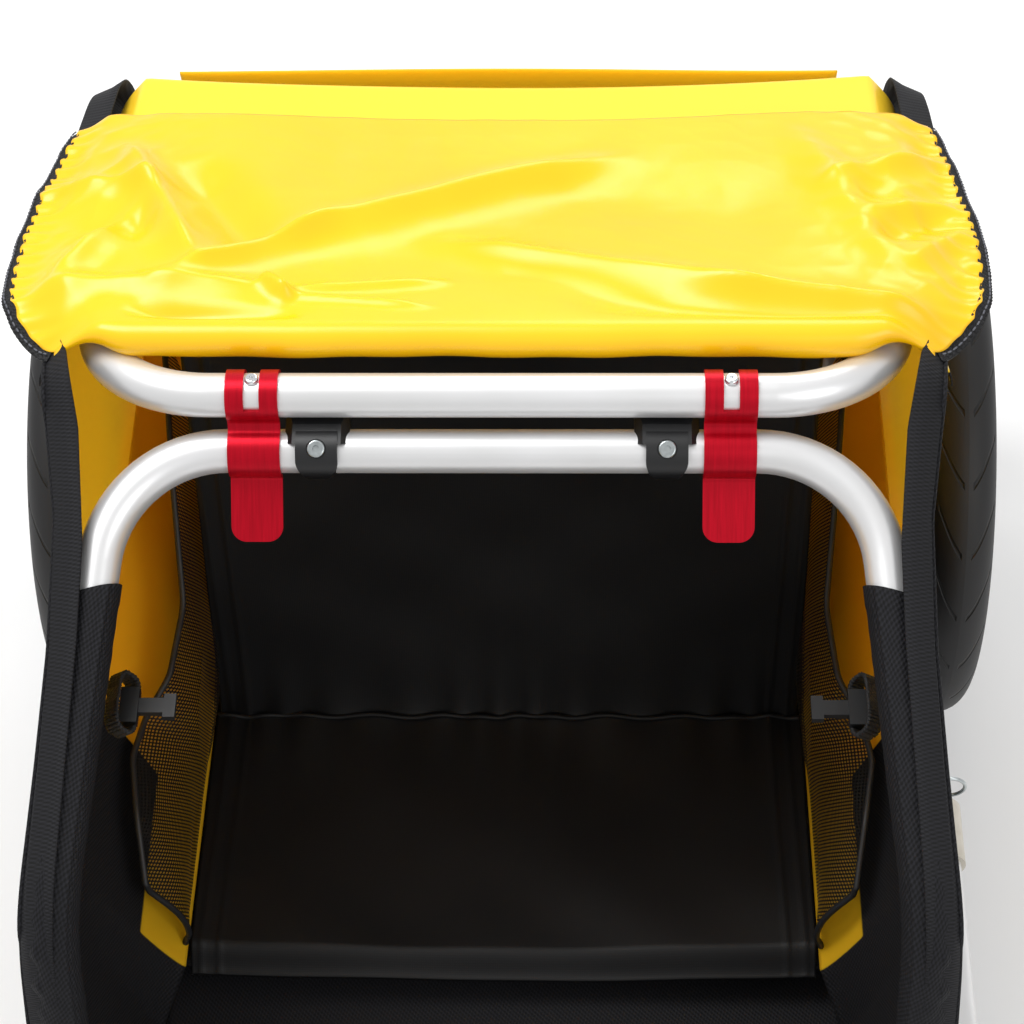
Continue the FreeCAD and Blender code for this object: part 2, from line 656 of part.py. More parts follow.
def hitch_fork():
    """The forked part that is clamped on the bicycle's axle. It swings about the hitch pin."""
    z = TOW_Z + 34
    gap = 4.4
    sheet = 5.0
    ears = []
    for low in (z - gap - sheet, z + gap):
        ear = rod(11, (HITCH_X, HITCH_PIN_Y, low), (HITCH_X, HITCH_PIN_Y, low + sheet))
        arm = box(HITCH_X - 11, HITCH_X + 11, HITCH_PIN_Y - 20, HITCH_PIN_Y, low, low + sheet)
        ears += [ear, arm]
    low, high = z - gap - sheet, z + gap + sheet
    back = box(HITCH_X - 11, HITCH_X + 11, HITCH_PIN_Y - 25, HITCH_PIN_Y - 17, low, high)
    blade = box(HITCH_X - 3, HITCH_X + 3, HITCH_PIN_Y - 34, HITCH_PIN_Y - 24, z - 9, z + 9)
    ring = rod(15, (HITCH_X - 3, HITCH_PIN_Y - 31, z), (HITCH_X + 3, HITCH_PIN_Y - 31, z))
    fork = joined(ears + [back, blade, ring])
    fork = fork.cut(box(0, 300, HITCH_PIN_Y - 16, HITCH_PIN_Y + 20, z - gap, z + gap))
    hole_y = HITCH_PIN_Y - 34
    fork = fork.cut(rod(AXLE_HOLE_R, (HITCH_X - 20, hole_y, z), (HITCH_X + 20, hole_y, z)))
    return fork.cut(rod(PIN_R, (HITCH_X, HITCH_PIN_Y, z - 30), (HITCH_X, HITCH_PIN_Y, z + 30)))


def hitch_pin():
    z = TOW_Z + 34
    shaft = rod(PIN_R, (HITCH_X, HITCH_PIN_Y, z - 14), (HITCH_X, HITCH_PIN_Y, z + 12))
    head = rod(7, (HITCH_X, HITCH_PIN_Y, z + 9.4), (HITCH_X, HITCH_PIN_Y, z + 14))
    return joined([shaft, head])


# Fabric, as plain closed bodies of the right size and place

def sleeve():
    """The woven sleeve round the front hoop's left rail and knee."""
    inner = TUBE_R + 0.3
    outer = inner + 2.2
    bar_end = Vector(FRONT_HALF_WIDTH, 0, FRONT_BAR_Z)
    knee = Vector(
        RAIL_X,
        -FRONT_SLOPE_LENGTH * math.cos(FRONT_SLOPE),
        FRONT_BAR_Z - FRONT_SLOPE_LENGTH * math.sin(FRONT_SLOPE),
    )
    foot = Vector(RAIL_X, FRONT_PIVOT_Y, PIVOT_Z)
    rail_way = (knee - bar_end).normalize()
    leg_way = (foot - knee).normalize()
    cuff = bar_end + rail_way * (CORNER_R + 3)
    hem = foot - leg_way * 42
    route = rounded_route([tuple(cuff), tuple(knee), tuple(hem)], [KNEE_R])
    return swept(route, outer).cut(swept(route, inner))


def side_outline(top_drop, low_z):
    """The outline of a side panel as (y, z) points, held in from the hoops by top_drop."""
    front_knee_y = -FRONT_SLOPE_LENGTH * math.cos(FRONT_SLOPE)
    front_knee_z = FRONT_BAR_Z - FRONT_SLOPE_LENGTH * math.sin(FRONT_SLOPE)
    rear_knee_y = REAR_BAR_Y + REAR_SLOPE_LENGTH * math.cos(REAR_SLOPE)
    rear_knee_z = REAR_BAR_Z - REAR_SLOPE_LENGTH * math.sin(REAR_SLOPE)
    return [
        (FRONT_PIVOT_Y + top_drop, low_z),
        (front_knee_y + top_drop / 2, front_knee_z - top_drop),
        (0, FRONT_BAR_Z - top_drop),
        (REAR_BAR_Y, REAR_BAR_Z - top_drop),
        (rear_knee_y - top_drop / 2, rear_knee_z - top_drop),
        (REAR_PIVOT_Y - top_drop, low_z),
    ]


def side_panel():
    """A flat side wall just outside the hoops, from the skirt up to the roof line."""
    return in_side_plane(side_outline(4, SKIRT_TOP_Z), SIDE_X, SIDE_X + CLOTH)


def side_skirt():
    """The low black part of a side wall, which hangs over the side rail."""
    outline = [
        (FRONT_PIVOT_Y + 4, SKIRT_TOP_Z),
        (REAR_PIVOT_Y - 4, SKIRT_TOP_Z),
        (REAR_PIVOT_Y - 4, RAIL_Z + TUBE_R + 2),
        (FRONT_PIVOT_Y + 4, RAIL_Z + TUBE_R + 2),
    ]
    return in_side_plane(outline, SIDE_X, SIDE_X + CLOTH)


def front_apron():
    """The black front wall between the front hoop's legs, from the floor to knee height."""
    half = RAIL_X - TUBE_R - 4
    y = FRONT_PIVOT_Y - 27
    return box(-half, half, y, y + CLOTH, RAIL_Z + TUBE_R + 3, APRON_TOP_Z)


def seat_base():
    """The sling seat, a thin slab that rises a little to the front."""
    outline = [(SEAT_FRONT_Y, SEAT_FRONT_Z), (SEAT_REAR_Y, SEAT_REAR_Z), (SEAT_REAR_Y, SEAT_REAR_Z - 8),
               (SEAT_FRONT_Y, SEAT_FRONT_Z - 8)]
    return in_side_plane(outline, -SEAT_HALF_WIDTH, SEAT_HALF_WIDTH)


def seat_strap():
    """Webbing under the seat, from side rail to side rail."""
    half = RAIL_X - TUBE_R - 1
    straps = []
    for y in (SEAT_FRONT_Y + 30, SEAT_REAR_Y - 40):
        straps.append(box(-half, half, y - 19, y + 19, RAIL_Z + 3, RAIL_Z + 5))
    return Part.makeCompound(straps)


def seat_back():
    outline = [(SEAT_REAR_Y + 2, SEAT_REAR_Z), (BACK_TOP_Y, BACK_TOP_Z), (BACK_TOP_Y + 7, BACK_TOP_Z),
               (SEAT_REAR_Y + 9, SEAT_REAR_Z)]
    return in_side_plane(outline, -SEAT_HALF_WIDTH, SEAT_HALF_WIDTH)


def rear_wall():
    """The black wall between the rear hoop's legs."""
    half = RAIL_X - 22.5
    knee_y = REAR_BAR_Y + REAR_SLOPE_LENGTH * math.cos(REAR_SLOPE)
    knee_z = REAR_BAR_Z - REAR_SLOPE_LENGTH * math.sin(REAR_SLOPE)
    outline = [
        (REAR_PIVOT_Y + 20, RAIL_Z + TUBE_R + 4),
        (REAR_PIVOT_Y + 20 + CLOTH, RAIL_Z + TUBE_R + 4),
        (knee_y + 16 + CLOTH, knee_z - 10),
        (knee_y + 16, knee_z - 10),
    ]
    return in_side_plane(outline, -half, half)


def above_rear_rails(start, end, gap, thickness, half_width):
    """A slab parallel to the rear hoop's rails, between two distances from the rear crossbar."""
    rails_way = (math.cos(REAR_SLOPE), -math.sin(REAR_SLOPE))
    upwards = (math.sin(REAR_SLOPE), math.cos(REAR_SLOPE))
    outline = []
    for along, lift in ((start, gap), (start, gap + thickness), (end, gap + thickness), (end, gap)):
        y = REAR_BAR_Y + rails_way[0] * along + upwards[0] * (TUBE_R + lift)
        z = REAR_BAR_Z + rails_way[1] * along + upwards[1] * (TUBE_R + lift)
        outline.append((y, z))
    return in_side_plane(outline, -half_width, half_width)


def roof_cover():
    """The yellow roof, just above the rear hoop's rails, wider than the hoop."""
    return above_rear_rails(34, REAR_SLOPE_LENGTH, 3, 4, RAIL_X + 18)


def front_flap():
    """The front cover, thrown back over the roof: its rolled edge lies behind the rear crossbar."""
    return above_rear_rails(30, 250, 8, 16, COVER_HALF_WIDTH)


def mesh_pocket():
    """The net pocket on the inside of the left wall."""
    low, high = SEAT_FRONT_Z + 22, BACK_TOP_Z
    outline = [(-150, low), (-110, high - 60), (-20, high), (150, high - 15), (190, low + 10)]
    return in_side_plane(outline, POCKET_X, POCKET_X + CLOTH)


def pocket_hook():
    """A plastic T-hook: its bar lies in the loop, its arm reaches in to the pocket's edge."""
    x, y, z = HOOK_X, HOOK_Y, HOOK_Z
    bar = box(x - 5.5, x + 5.5, y - 12, y + 12, z - 3, z + 3)
    arm = box(x - 27, x - 5, y - 5, y + 5, z - 2, z + 2)
    eye = box(x - 27, x - 20, y - 8, y + 8, z - 2, z + 2)
    return joined([bar, arm, eye])


def hook_loop():
    """A webbing loop under the sleeve, for the hook."""
    x, y, z = HOOK_X + 7.5, HOOK_Y, HOOK_Z
    return box(x, x + 2, y - 18, y + 18, z - 14, z + 14)


def main():
    both_sides("side_rail", side_rail())
    save("rail_caps", rail_caps())
    cross_tubes = [cross_tube(RAIL_FRONT_Y + CROSS_INSET), cross_tube(RAIL_REAR_Y - CROSS_INSET)]
    save("cross_tubes", Part.makeCompound(cross_tubes))
    save("axle_tube", axle_tube())
    save("axle_saddles", pair(axle_saddle()))
    save("axle_sockets", pair(axle_socket()))
    brackets = [hoop_bracket(FRONT_PIVOT_Y), hoop_bracket(REAR_PIVOT_Y)]
    save("hoop_brackets", pair(*brackets))
    save("pivot_pins", pivot_pins())
    save("floor_panel", floor_panel())

    front = front_hoop()
    rear = rear_hoop()
    for x in (-SPACER_X, SPACER_X):
        front = front.cut(cylinder_out(x, 0, BOLT_ANGLE, 2.6, 0, 30))
    for x in (-CLIP_X, CLIP_X):
        rear = rear.cut(cylinder_out(x, BAR_SPACING, SCREW_ANGLE, 2.0, 0, 30))
    save("front_hoop", front)
    save("rear_hoop", rear)
    save("clip_left", clip(CLIP_X))
    save("clip_right", clip(-CLIP_X))
    save("clip_screws", clip_screws())
    save("spacer_left", spacer(SPACER_X))
    save("spacer_right", spacer(-SPACER_X))
    save("spacer_bolts", spacer_bolts())

    both_sides("tyre", tyre())
    both_sides("rim", rim())
    both_sides("spokes", spokes())
    both_sides("hub", hub())
    both_sides("valve", valve())
    both_sides("wheel_reflector", wheel_reflector())
    save("axle_pins", pair(axle_pin()))
    both_sides("release_button", release_button())

    save("tow_socket", tow_socket())
    save("socket_bolts", socket_bolts())
    save("tow_guide", tow_guide())
    save("tow_bar", tow_bar())
    save("lock_pin", lock_pin())
    save("pull_ring", pull_ring())
    save("flex_coupling", flex_coupling())
    save("hitch_tongue", hitch_tongue())
    save("hitch_fork", hitch_fork())
    save("hitch_pin", hitch_pin())

    both_sides("sleeve", sleeve())
    both_sides("side_panel", side_panel())
    save("side_skirts", pair(side_skirt()))
    save("front_apron", front_apron())
    save("seat_base", seat_base())
    save("seat_straps", seat_strap())
    save("seat_back", seat_back())
    save("rear_wall", rear_wall())
    save("roof_cover", roof_cover())
    save("front_flap", front_flap())
    both_sides("mesh_pocket", mesh_pocket())
    save("pocket_hooks", pair(pocket_hook()))
    save("hook_loops", pair(hook_loop()))


main()
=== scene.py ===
# %% [markdown]
# # Child bicycle trailer, visual model
# Works in metres in the CAD part's own frame: +X is the trailer's left, +Y its rear, +Z up.
# Shapes are written in millimetres, with Y counted from the front crossbar, and `place` converts them.

# %% Load the CAD frame
import json
import math
import bpy
import numpy as np
from mathutils import Matrix, Vector


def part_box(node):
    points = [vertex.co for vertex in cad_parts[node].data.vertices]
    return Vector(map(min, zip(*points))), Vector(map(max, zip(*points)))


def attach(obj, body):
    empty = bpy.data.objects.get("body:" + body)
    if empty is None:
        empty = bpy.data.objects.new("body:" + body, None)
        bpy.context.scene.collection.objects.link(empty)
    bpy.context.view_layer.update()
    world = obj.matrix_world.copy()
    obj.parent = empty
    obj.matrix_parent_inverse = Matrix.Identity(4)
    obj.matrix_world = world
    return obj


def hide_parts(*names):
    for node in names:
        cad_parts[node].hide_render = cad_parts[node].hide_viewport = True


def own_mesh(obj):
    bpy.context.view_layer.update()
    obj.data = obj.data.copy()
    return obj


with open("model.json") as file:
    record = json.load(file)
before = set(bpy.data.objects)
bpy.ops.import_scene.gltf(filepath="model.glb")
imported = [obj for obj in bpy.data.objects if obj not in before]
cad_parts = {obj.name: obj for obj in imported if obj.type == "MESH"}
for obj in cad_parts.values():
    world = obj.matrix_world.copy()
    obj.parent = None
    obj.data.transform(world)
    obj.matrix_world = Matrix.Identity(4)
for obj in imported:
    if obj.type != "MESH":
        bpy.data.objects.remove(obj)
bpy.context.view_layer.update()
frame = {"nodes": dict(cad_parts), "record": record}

# Places on the frame, in mm. A pair is (y, z).
MM = 0.001
TUBE_R = 12.7
BAR_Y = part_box("front_hoop")[1].y - TUBE_R * MM
BAR_Z = 643.0
BAR_END_X = 218.0
REAR_BAR_Z = 672.0
RAIL_X = 244.0
RAIL_Z = 227.0
FRONT_KNEE = (-244.7, 528.9)
REAR_KNEE = (385.8, 559.5)
FRONT_FOOT = (-345.0, 264.0)
REAR_FOOT = (470.0, 264.0)
AXLE = (345.0, 200.0)
WHEEL_X = 327.0

# The range of the waves' random starts, in radians.
FULL_TURN = 6.28

# %% [markdown]
# ## Small helpers
# A surface is a grid of points, rows by columns. Its UV map holds the cloth's real size, so that the woven
# patterns keep their scale.

# %% Helpers for shapes


def place(points):
    """Turns millimetre points, with Y from the front crossbar, into the frame in metres."""
    points = np.asarray(points, float) * MM
    points[..., 1] += BAR_Y
    return points


def smooth(t):
    """0 below 0, 1 above 1 and 3t^2 - 2t^3 between."""
    t = np.clip(t, 0, 1)
    return t * t * (3 - 2 * t)


def surface(name, grid, uv, materials, ring=False, thickness=0.0, border=None):
    """A mesh from a grid of points.

    ring closes each row on itself. thickness, in mm, makes it a solid sheet.
    border, in mm, is above 0 where the cloth is black.
    """
    rows, cols = grid.shape[:2]
    index = np.arange(rows * cols).reshape(rows, cols)
    right = np.roll(index, -1, axis=1) if ring else index[:, 1:]
    left = index if ring else index[:, :-1]
    faces = np.stack([left[:-1], right[:-1], right[1:], left[1:]], -1).reshape(-1, 4)
    mesh = bpy.data.meshes.new(name)
    mesh.from_pydata(place(grid).reshape(-1, 3), [], faces.tolist())
    layer = mesh.uv_layers.new(name="UVMap")
    flat_uv = np.asarray(uv, float).reshape(-1, 2)[faces.reshape(-1)]
    if ring:
        corner_cols = (faces % cols).reshape(-1, 4)
        wraps = corner_cols.max(1) - corner_cols.min(1) > 1
        turn = uv[0, -1, 0] - uv[0, 0, 0] + (uv[0, 1, 0] - uv[0, 0, 0])
        patched = flat_uv.reshape(-1, 4, 2)
        low = (corner_cols == 0) & wraps[:, None]
        patched[..., 0][low] += turn
        flat_uv = patched.reshape(-1, 2)
    layer.data.foreach_set("uv", (flat_uv * MM).astype(np.float32).ravel())
    mesh.polygons.foreach_set("use_smooth", np.ones(len(faces), bool))
    for material in materials:
        mesh.materials.append(material)
    if border is not None:
        values = mesh.attributes.new("border", "FLOAT", "POINT")
        values.data.foreach_set("value", np.broadcast_to(border, grid.shape[:2]).astype(np.float32).ravel())
    mesh.update()
    piece = bpy.data.objects.new(name, mesh)
    bpy.context.scene.collection.objects.link(piece)
    if thickness:
        solid = piece.modifiers.new("thickness", "SOLIDIFY")
        solid.thickness = thickness * MM
        solid.offset = 0
    return piece


def lengths(points):
    """Distance along a line of points, from its start, in mm."""
    steps = np.linalg.norm(np.diff(points, axis=0), axis=1)
    return np.concatenate([[0], np.cumsum(steps)])


def resampled(points, count):
    """The same line with evenly spaced points."""
    points = np.asarray(points, float)
    along = lengths(points)
    target = np.linspace(0, along[-1], count)
    return np.stack([np.interp(target, along, points[:, i]) for i in range(points.shape[1])], -1)


def rounded(corners, radius, count):
    """A line through the corners with each inner one rounded, as evenly spaced points."""
    corners = [np.asarray(c, float) for c in corners]
    line = [corners[0]]
    for before, corner, after in zip(corners, corners[1:], corners[2:]):
        a = (before - corner) / np.linalg.norm(before - corner)
        b = (after - corner) / np.linalg.norm(after - corner)
        half = math.acos(np.clip(a @ b, -1, 1)) / 2
        reach = min(radius / math.tan(half), 0.45 * np.linalg.norm(before - corner),
                    0.45 * np.linalg.norm(after - corner))
        for t in np.linspace(0, 1, 13):
            line.append(corner + a * reach * (1 - t) ** 2 + b * reach * t ** 2)
    line.append(corners[-1])
    return resampled(np.array(line), count)


def frames_along(line, up):
    """For each point of a line: its direction, and two directions across it, the second nearest to up."""
    ahead = np.gradient(line, axis=0)
    ahead /= np.linalg.norm(ahead, axis=1)[:, None]
    side = np.cross(ahead, up)
    side /= np.linalg.norm(side, axis=1)[:, None]
    over = np.cross(side, ahead)
    return ahead, side, over


def tube(name, line, radius, up, material, around=20):
    """A round cord or sleeve along a line. radius is a number or one value per point."""
    ahead, side, over = frames_along(line, np.asarray(up, float))
    angles = np.linspace(0, 2 * math.pi, around, endpoint=False)
    radius = np.broadcast_to(radius, (len(line),))
    rows = [
        p + r * (np.cos(angles)[:, None] * s + np.sin(angles)[:, None] * o)
        for p, r, s, o in zip(line, radius, side, over)
    ]
    rows = [np.repeat(line[:1], around, 0)] + rows + [np.repeat(line[-1:], around, 0)]
    along = np.concatenate([[0], lengths(line), [lengths(line)[-1]]])
    mean_r = float(radius.mean())
    uv = np.stack(np.broadcast_arrays(angles[None, :] * mean_r, along[:, None]), -1)
    return surface(name, np.array(rows), uv, [material], ring=True)


def ribbon(name, line, width, up, material, thickness=1.4, ripple=0.0, pitch=9.0):
    """A flat band along a line, its width square to up. ripple, in mm, gathers it into small waves."""
    ahead, side, over = frames_along(line, np.asarray(up, float))
    across = np.linspace(-0.5, 0.5, 7)
    along = lengths(line)
    gather = ripple * np.sin(2 * math.pi * along / pitch)
    grid = line[:, None] + across[None, :, None] * width * side[:, None]
    grid = grid + (gather[:, None] * (0.4 + across[None] ** 2 * 2))[..., None] * over[:, None]
    uv = np.stack(np.broadcast_arrays(across[None] * width, along[:, None]), -1)
    return surface(name, grid, uv, [material], thickness=thickness)


def both_sides(build):
    """Builds a piece on the left and its mirror image on the right."""
    return [build("left", 1), build("right", -1)]


def mirrored(grid, side):
    """The left grid, or its mirror image with the rows reversed, so that its faces still look outwards."""
    grid = np.array(grid, float)
    if side < 0:
        grid[..., 0] *= -1
        grid = grid[:, ::-1]
    return grid


def flatten_with_fold(piece):
    """Gives the piece its own copy of its mesh data. It does not sink or flatten as the hoops fold."""
    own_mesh(piece)


def crease(x, v, start, end, width, height, sharp=1.0):
    """The height of one fold that runs from start to end on a cloth, in mm.

    Across the fold it is height * exp(-|d / width|^(1 + sharp)); along it, it fades out at both ends.
    """
    start_x, start_v = start
    end_x, end_v = end
    length = math.hypot(end_x - start_x, end_v - start_v)
    toward_x = (end_x - start_x) / length
    toward_v = (end_v - start_v) / length
    along = (x - start_x) * toward_x + (v - start_v) * toward_v
    across = -(x - start_x) * toward_v + (v - start_v) * toward_x
    t = along / length
    fade = smooth((t + 0.15) / 0.4) * smooth((1.15 - t) / 0.4)
    return height * fade * np.exp(-np.abs(across / width) ** (1 + sharp))


def ruffle(a, b, seed, count=7, low=1.0, high=4.0):
    """Smooth irregular waves over two coordinates: a sum of sines with seeded directions and phases."""
    random = np.random.default_rng(seed)
    total = 0
    for _ in range(count):
        ka, kb = random.uniform(low, high, 2) * random.choice([-1, 1], 2)
        total = total + np.sin(ka * a + kb * b + random.uniform(0, FULL_TURN))
    return total / count


# %% [markdown]
# ## Materials
# `node` adds one shader node, sets it up and links it. A colour, a roughness or a surface relief may be a
# function of the node tree, which adds its own nodes.

# %% Helpers for materials


def srgb(code):
    """A linear RGBA colour from an sRGB hex code."""
    values = [int(code[i:i + 2], 16) / 255 for i in (1, 3, 5)]
    linear = [v / 12.92 if v <= 0.04045 else ((v + 0.055) / 1.055) ** 2.4 for v in values]
    return (*linear, 1)


def node(tree, kind, inputs=None, out=0, **settings):
    """Adds a node, sets its properties, fills or links its inputs and returns one of its outputs."""
    made = tree.nodes.new(kind)
    for key, value in settings.items():
        setattr(made, key, value)
    for key, value in (inputs or {}).items():
        socket = made.inputs[key]
        if isinstance(value, bpy.types.NodeSocket):
            tree.links.new(value, socket)
        else:
            socket.default_value = value
    return made.outputs[out] if made.outputs else None


def new_material(name, base, roughness, metallic=0.0, normal=None, **more):
    """A principled material. base is a hex code, or a function of the tree as any other value may be."""
    material = bpy.data.materials.new(name)
    material.use_nodes = True
    tree = material.node_tree
    tree.nodes.clear()
    inputs = {"Roughness": roughness, "Metallic": metallic}
    inputs["Base Color"] = base(tree) if callable(base) else srgb(base)
    if callable(roughness):
        inputs["Roughness"] = roughness(tree)
    if normal:
        inputs["Normal"] = normal(tree)
    for key, value in more.items():
        inputs[key.replace("_", " ")] = value(tree) if callable(value) else value
    shader = node(tree, "ShaderNodeBsdfPrincipled", inputs)
    node(tree, "ShaderNodeOutputMaterial", {"Surface": shader})
    return material


def object_point(tree):
    return node(tree, "ShaderNodeTexCoord", out=3)


def cloth_point(tree):
    """The cloth's own coordinates, in metres along its warp and weft."""
    return node(tree, "ShaderNodeUVMap", uv_map="UVMap")


def calc(tree, operation, a, b=0.0):
    return node(tree, "ShaderNodeMath", {0: a, 1: b}, operation=operation)


def wave(tree, value, pitch):
    """0 to 1 and back over each pitch, in metres."""
    turn = calc(tree, "MULTIPLY", value, 2 * math.pi / pitch)
    return calc(tree, "MULTIPLY_ADD", calc(tree, "SINE", turn), 0.5)


def twill_height(tree, pitch):
    """Height of a twill weave: fine threads one way, crossed by a diagonal rib."""
    split = tree.nodes.new("ShaderNodeSeparateXYZ")
    tree.links.new(cloth_point(tree), split.inputs[0])
    u, v = split.outputs[0], split.outputs[1]
    diagonal = wave(tree, calc(tree, "ADD", u, v), pitch * 1.6)
    thread = wave(tree, calc(tree, "SUBTRACT", u, calc(tree, "MULTIPLY", v, 0.25)), pitch)
    return calc(tree, "ADD", calc(tree, "MULTIPLY", diagonal, 0.7), calc(tree, "MULTIPLY", thread, 0.5))


def plain_height(tree, pitch):
    """Height of a plain weave: a fine checked pattern of threads."""
    split = tree.nodes.new("ShaderNodeSeparateXYZ")
    tree.links.new(cloth_point(tree), split.inputs[0])
    return calc(tree, "MULTIPLY", wave(tree, split.outputs[0], pitch), wave(tree, split.outputs[1], pitch))


def bump(tree, height, depth, strength=1.0):
    """A surface relief: height, from 0 to 1, times depth in metres."""
    return node(tree, "ShaderNodeBump", {"Height": height, "Distance": depth, "Strength": strength})


def noise(tree, scale, detail=3.0, stretch=(1, 1, 1)):
    """Cloudy values from 0 to 1, with scale cells to the metre."""
    point = node(tree, "ShaderNodeMapping", {"Vector": object_point(tree), "Scale": stretch})
    return node(tree, "ShaderNodeTexNoise", {"Vector": point, "Scale": scale, "Detail": detail})


def between(tree, value, low, high, first, second):
    """A colour that goes from first to second as value goes from low to high."""
    factor = node(tree, "ShaderNodeMapRange", {0: value, 1: low, 2: high, 3: 0.0, 4: 1.0})
    return node(tree, "ShaderNodeMix", {0: factor, 6: srgb(first), 7: srgb(second)}, out=2, data_type="RGBA")


def soft_step(tree, value, low, high, first, second):
    """A number that eases from first to second as value goes from low to high."""
    inputs = {0: value, 1: low, 2: high, 3: first, 4: second}
    return node(tree, "ShaderNodeMapRange", inputs, interpolation_type="SMOOTHSTEP")


def mottled(scale, first, second, low=0.3, detail=3.0, stretch=(1, 1, 1)):
    """A base colour that drifts between two tones."""
    return lambda tree: between(tree, noise(tree, scale, detail, stretch), low, 0.7, first, second)


def grained(scale, depth, strength=0.5, detail=3.0, stretch=(1, 1, 1)):
    """The relief of a fine grain."""
    return lambda tree: bump(tree, noise(tree, scale, detail, stretch), depth, strength)

# %% [markdown]
# The metals: satin anodised tube, red anodised clips with a brushed grain along X, zinc-plated fasteners.

# %% Metals and plastics

ALONG_X = (1, 0.05, 0.05)
moulded = grained(2200.0, 0.00005, detail=4.0)
brushed = grained(1500.0, 0.000004, 0.4, 2.0, ALONG_X)


def faceted(tree):
    """The small moulded cells of a reflector."""
    cells = node(tree, "ShaderNodeTexVoronoi", {"Vector": object_point(tree), "Scale": 420.0})
    return bump(tree, cells, 0.0004)


satin_aluminium = new_material(
    "satin_aluminium", mottled(14.0, "#DADADA", "#E2E2E3", low=0.35), 0.36, 0.55,
    grained(2500.0, 0.00001, 0.4), Specular_IOR_Level=0.6)
red_anodised = new_material(
    "red_anodised", mottled(700.0, "#A8021A", "#BC0420", detail=2.0, stretch=ALONG_X), 0.36, 0.65, brushed,
    Specular_IOR_Level=0.3)
zinc = new_material("zinc_plated_steel", mottled(180.0, "#9DA3A4", "#C3C9CA"), 0.3, 1.0)
bright = new_material("bright_steel", "#E6E8EA", 0.14, 1.0)
spoke_steel = new_material("stainless_wire", "#C4C7C9", 0.25, 1.0)
rim_alloy = new_material("rim_alloy", "#A9ACAF", 0.34, 0.9, grained(1200.0, 0.00001))
hub_alloy = new_material("hub_alloy", "#8E9295", 0.38, 0.9)
cast_alloy = new_material(
    "cast_alloy", mottled(60.0, "#BDB7AA", "#CFCABF"), 0.5, 0.15, grained(1500.0, 0.00008))
black_plastic = new_material("moulded_black_plastic", "#0B0C0E", 0.4, 0.0, moulded)
grey_plastic = new_material("grey_button_plastic", "#5A5D62", 0.4, 0.0, moulded)
amber = new_material("amber_reflector", "#F07A1C", 0.12, 0.0, faceted, Coat_Weight=0.8)
soft_rubber = new_material("smooth_black_rubber", "#1B1B1D", 0.6, 0.0, moulded)

# %% [markdown]
# The tyre's tread is a height pattern in the wheel's own polar coordinates: theta around the axle and w
# across the tread, as a share of its half width. With n grooves to a turn, a groove lies where
# n * theta / 2pi + 0.75 * |w|^1.6 is a whole number, so they bend back on both sides of the middle rib.

# %% Tyre rubber

GROOVES = 24
GROOVE_LEAN = 0.75
GROOVE_BEND = 1.6
TREAD_HALF_WIDTH = 0.02


def tread_height(tree):
    """1 on the rubber and 0 in a groove."""
    split = tree.nodes.new("ShaderNodeSeparateXYZ")
    tree.links.new(object_point(tree), split.inputs[0])
    x, y, z = split.outputs
    across = calc(tree, "SUBTRACT", calc(tree, "ABSOLUTE", x), WHEEL_X * MM)
    dy = calc(tree, "SUBTRACT", y, AXLE[0] * MM + BAR_Y)
    dz = calc(tree, "SUBTRACT", z, AXLE[1] * MM)
    theta = calc(tree, "ARCTAN2", dz, dy)
    wide = calc(tree, "ABSOLUTE", across)
    shift = calc(tree, "MULTIPLY", calc(tree, "SIGN", across), 0.5)
    bend = calc(tree, "POWER", calc(tree, "MULTIPLY", wide, 1 / TREAD_HALF_WIDTH), GROOVE_BEND)
    lean = calc(tree, "MULTIPLY", bend, GROOVE_LEAN)
    turns = calc(tree, "MULTIPLY", theta, GROOVES / (2 * math.pi))
    steps = calc(tree, "ADD", calc(tree, "ADD", turns, lean), calc(tree, "ADD", shift, 50.0))
    groove = calc(tree, "ABSOLUTE", calc(tree, "SUBTRACT", calc(tree, "FRACT", steps), 0.5))
    cut = soft_step(tree, groove, 0.015, 0.06, 0.0, 1.0)
    middle_rib = soft_step(tree, wide, 0.003, 0.0045, 1.0, 0.0)
    flank = soft_step(tree, wide, 0.0185, 0.0205, 0.0, 1.0)
    squares = calc(tree, "ADD", calc(tree, "MULTIPLY", dy, dy), calc(tree, "MULTIPLY", dz, dz))
    radial = calc(tree, "SQRT", squares)
    inner = soft_step(tree, radial, 0.172, 0.178, 1.0, 0.0)
    uncut = calc(tree, "MAXIMUM", calc(tree, "MAXIMUM", middle_rib, flank), inner)
    return calc(tree, "MAXIMUM", cut, uncut)


# The rubber is painted darker in the grooves: painted shade in the tread's recesses.
def tyre_colour_with_painted_groove_shade(tree):
    return between(tree, tread_height(tree), 0.0, 1.0, "#030303", "#111113")


def tyre_normal(tree):
    fine = calc(tree, "MULTIPLY", noise(tree, 900.0, 4.0), 0.03)
    return bump(tree, calc(tree, "ADD", tread_height(tree), fine), 0.0022, 1.0)


tyre_rubber = new_material("tyre_rubber", tyre_colour_with_painted_groove_shade, 0.58, 0.0, tyre_normal)

# %% [markdown]
# Cloths: glossy coated yellow polyester, coarse black twill, fine black lining, open net and webbing.

# %% Cloths

TWILL_PITCH = 0.0021
LINING_PITCH = 0.0012
WEBBING_PITCH = 0.0016
NET_PITCH = 0.0026


def fine_weave(tree):
    """The relief of thin coated cloth: a faint plain weave and soft unevenness."""
    threads = calc(tree, "MULTIPLY", plain_height(tree, 0.0007), 0.3)
    return bump(tree, calc(tree, "ADD", threads, noise(tree, 120.0, 3.0)), 0.00012, 0.35)


# The twill's low places are painted darker and its raised threads lighter: painted shade and highlight in
# the weave.
def twill_colour_with_painted_shade(tree):
    return between(tree, twill_height(tree, TWILL_PITCH), 0.2, 1.0, "#050506", "#1B1B20")


def twill_relief(tree):
    return bump(tree, twill_height(tree, TWILL_PITCH), 0.0003, 0.9)


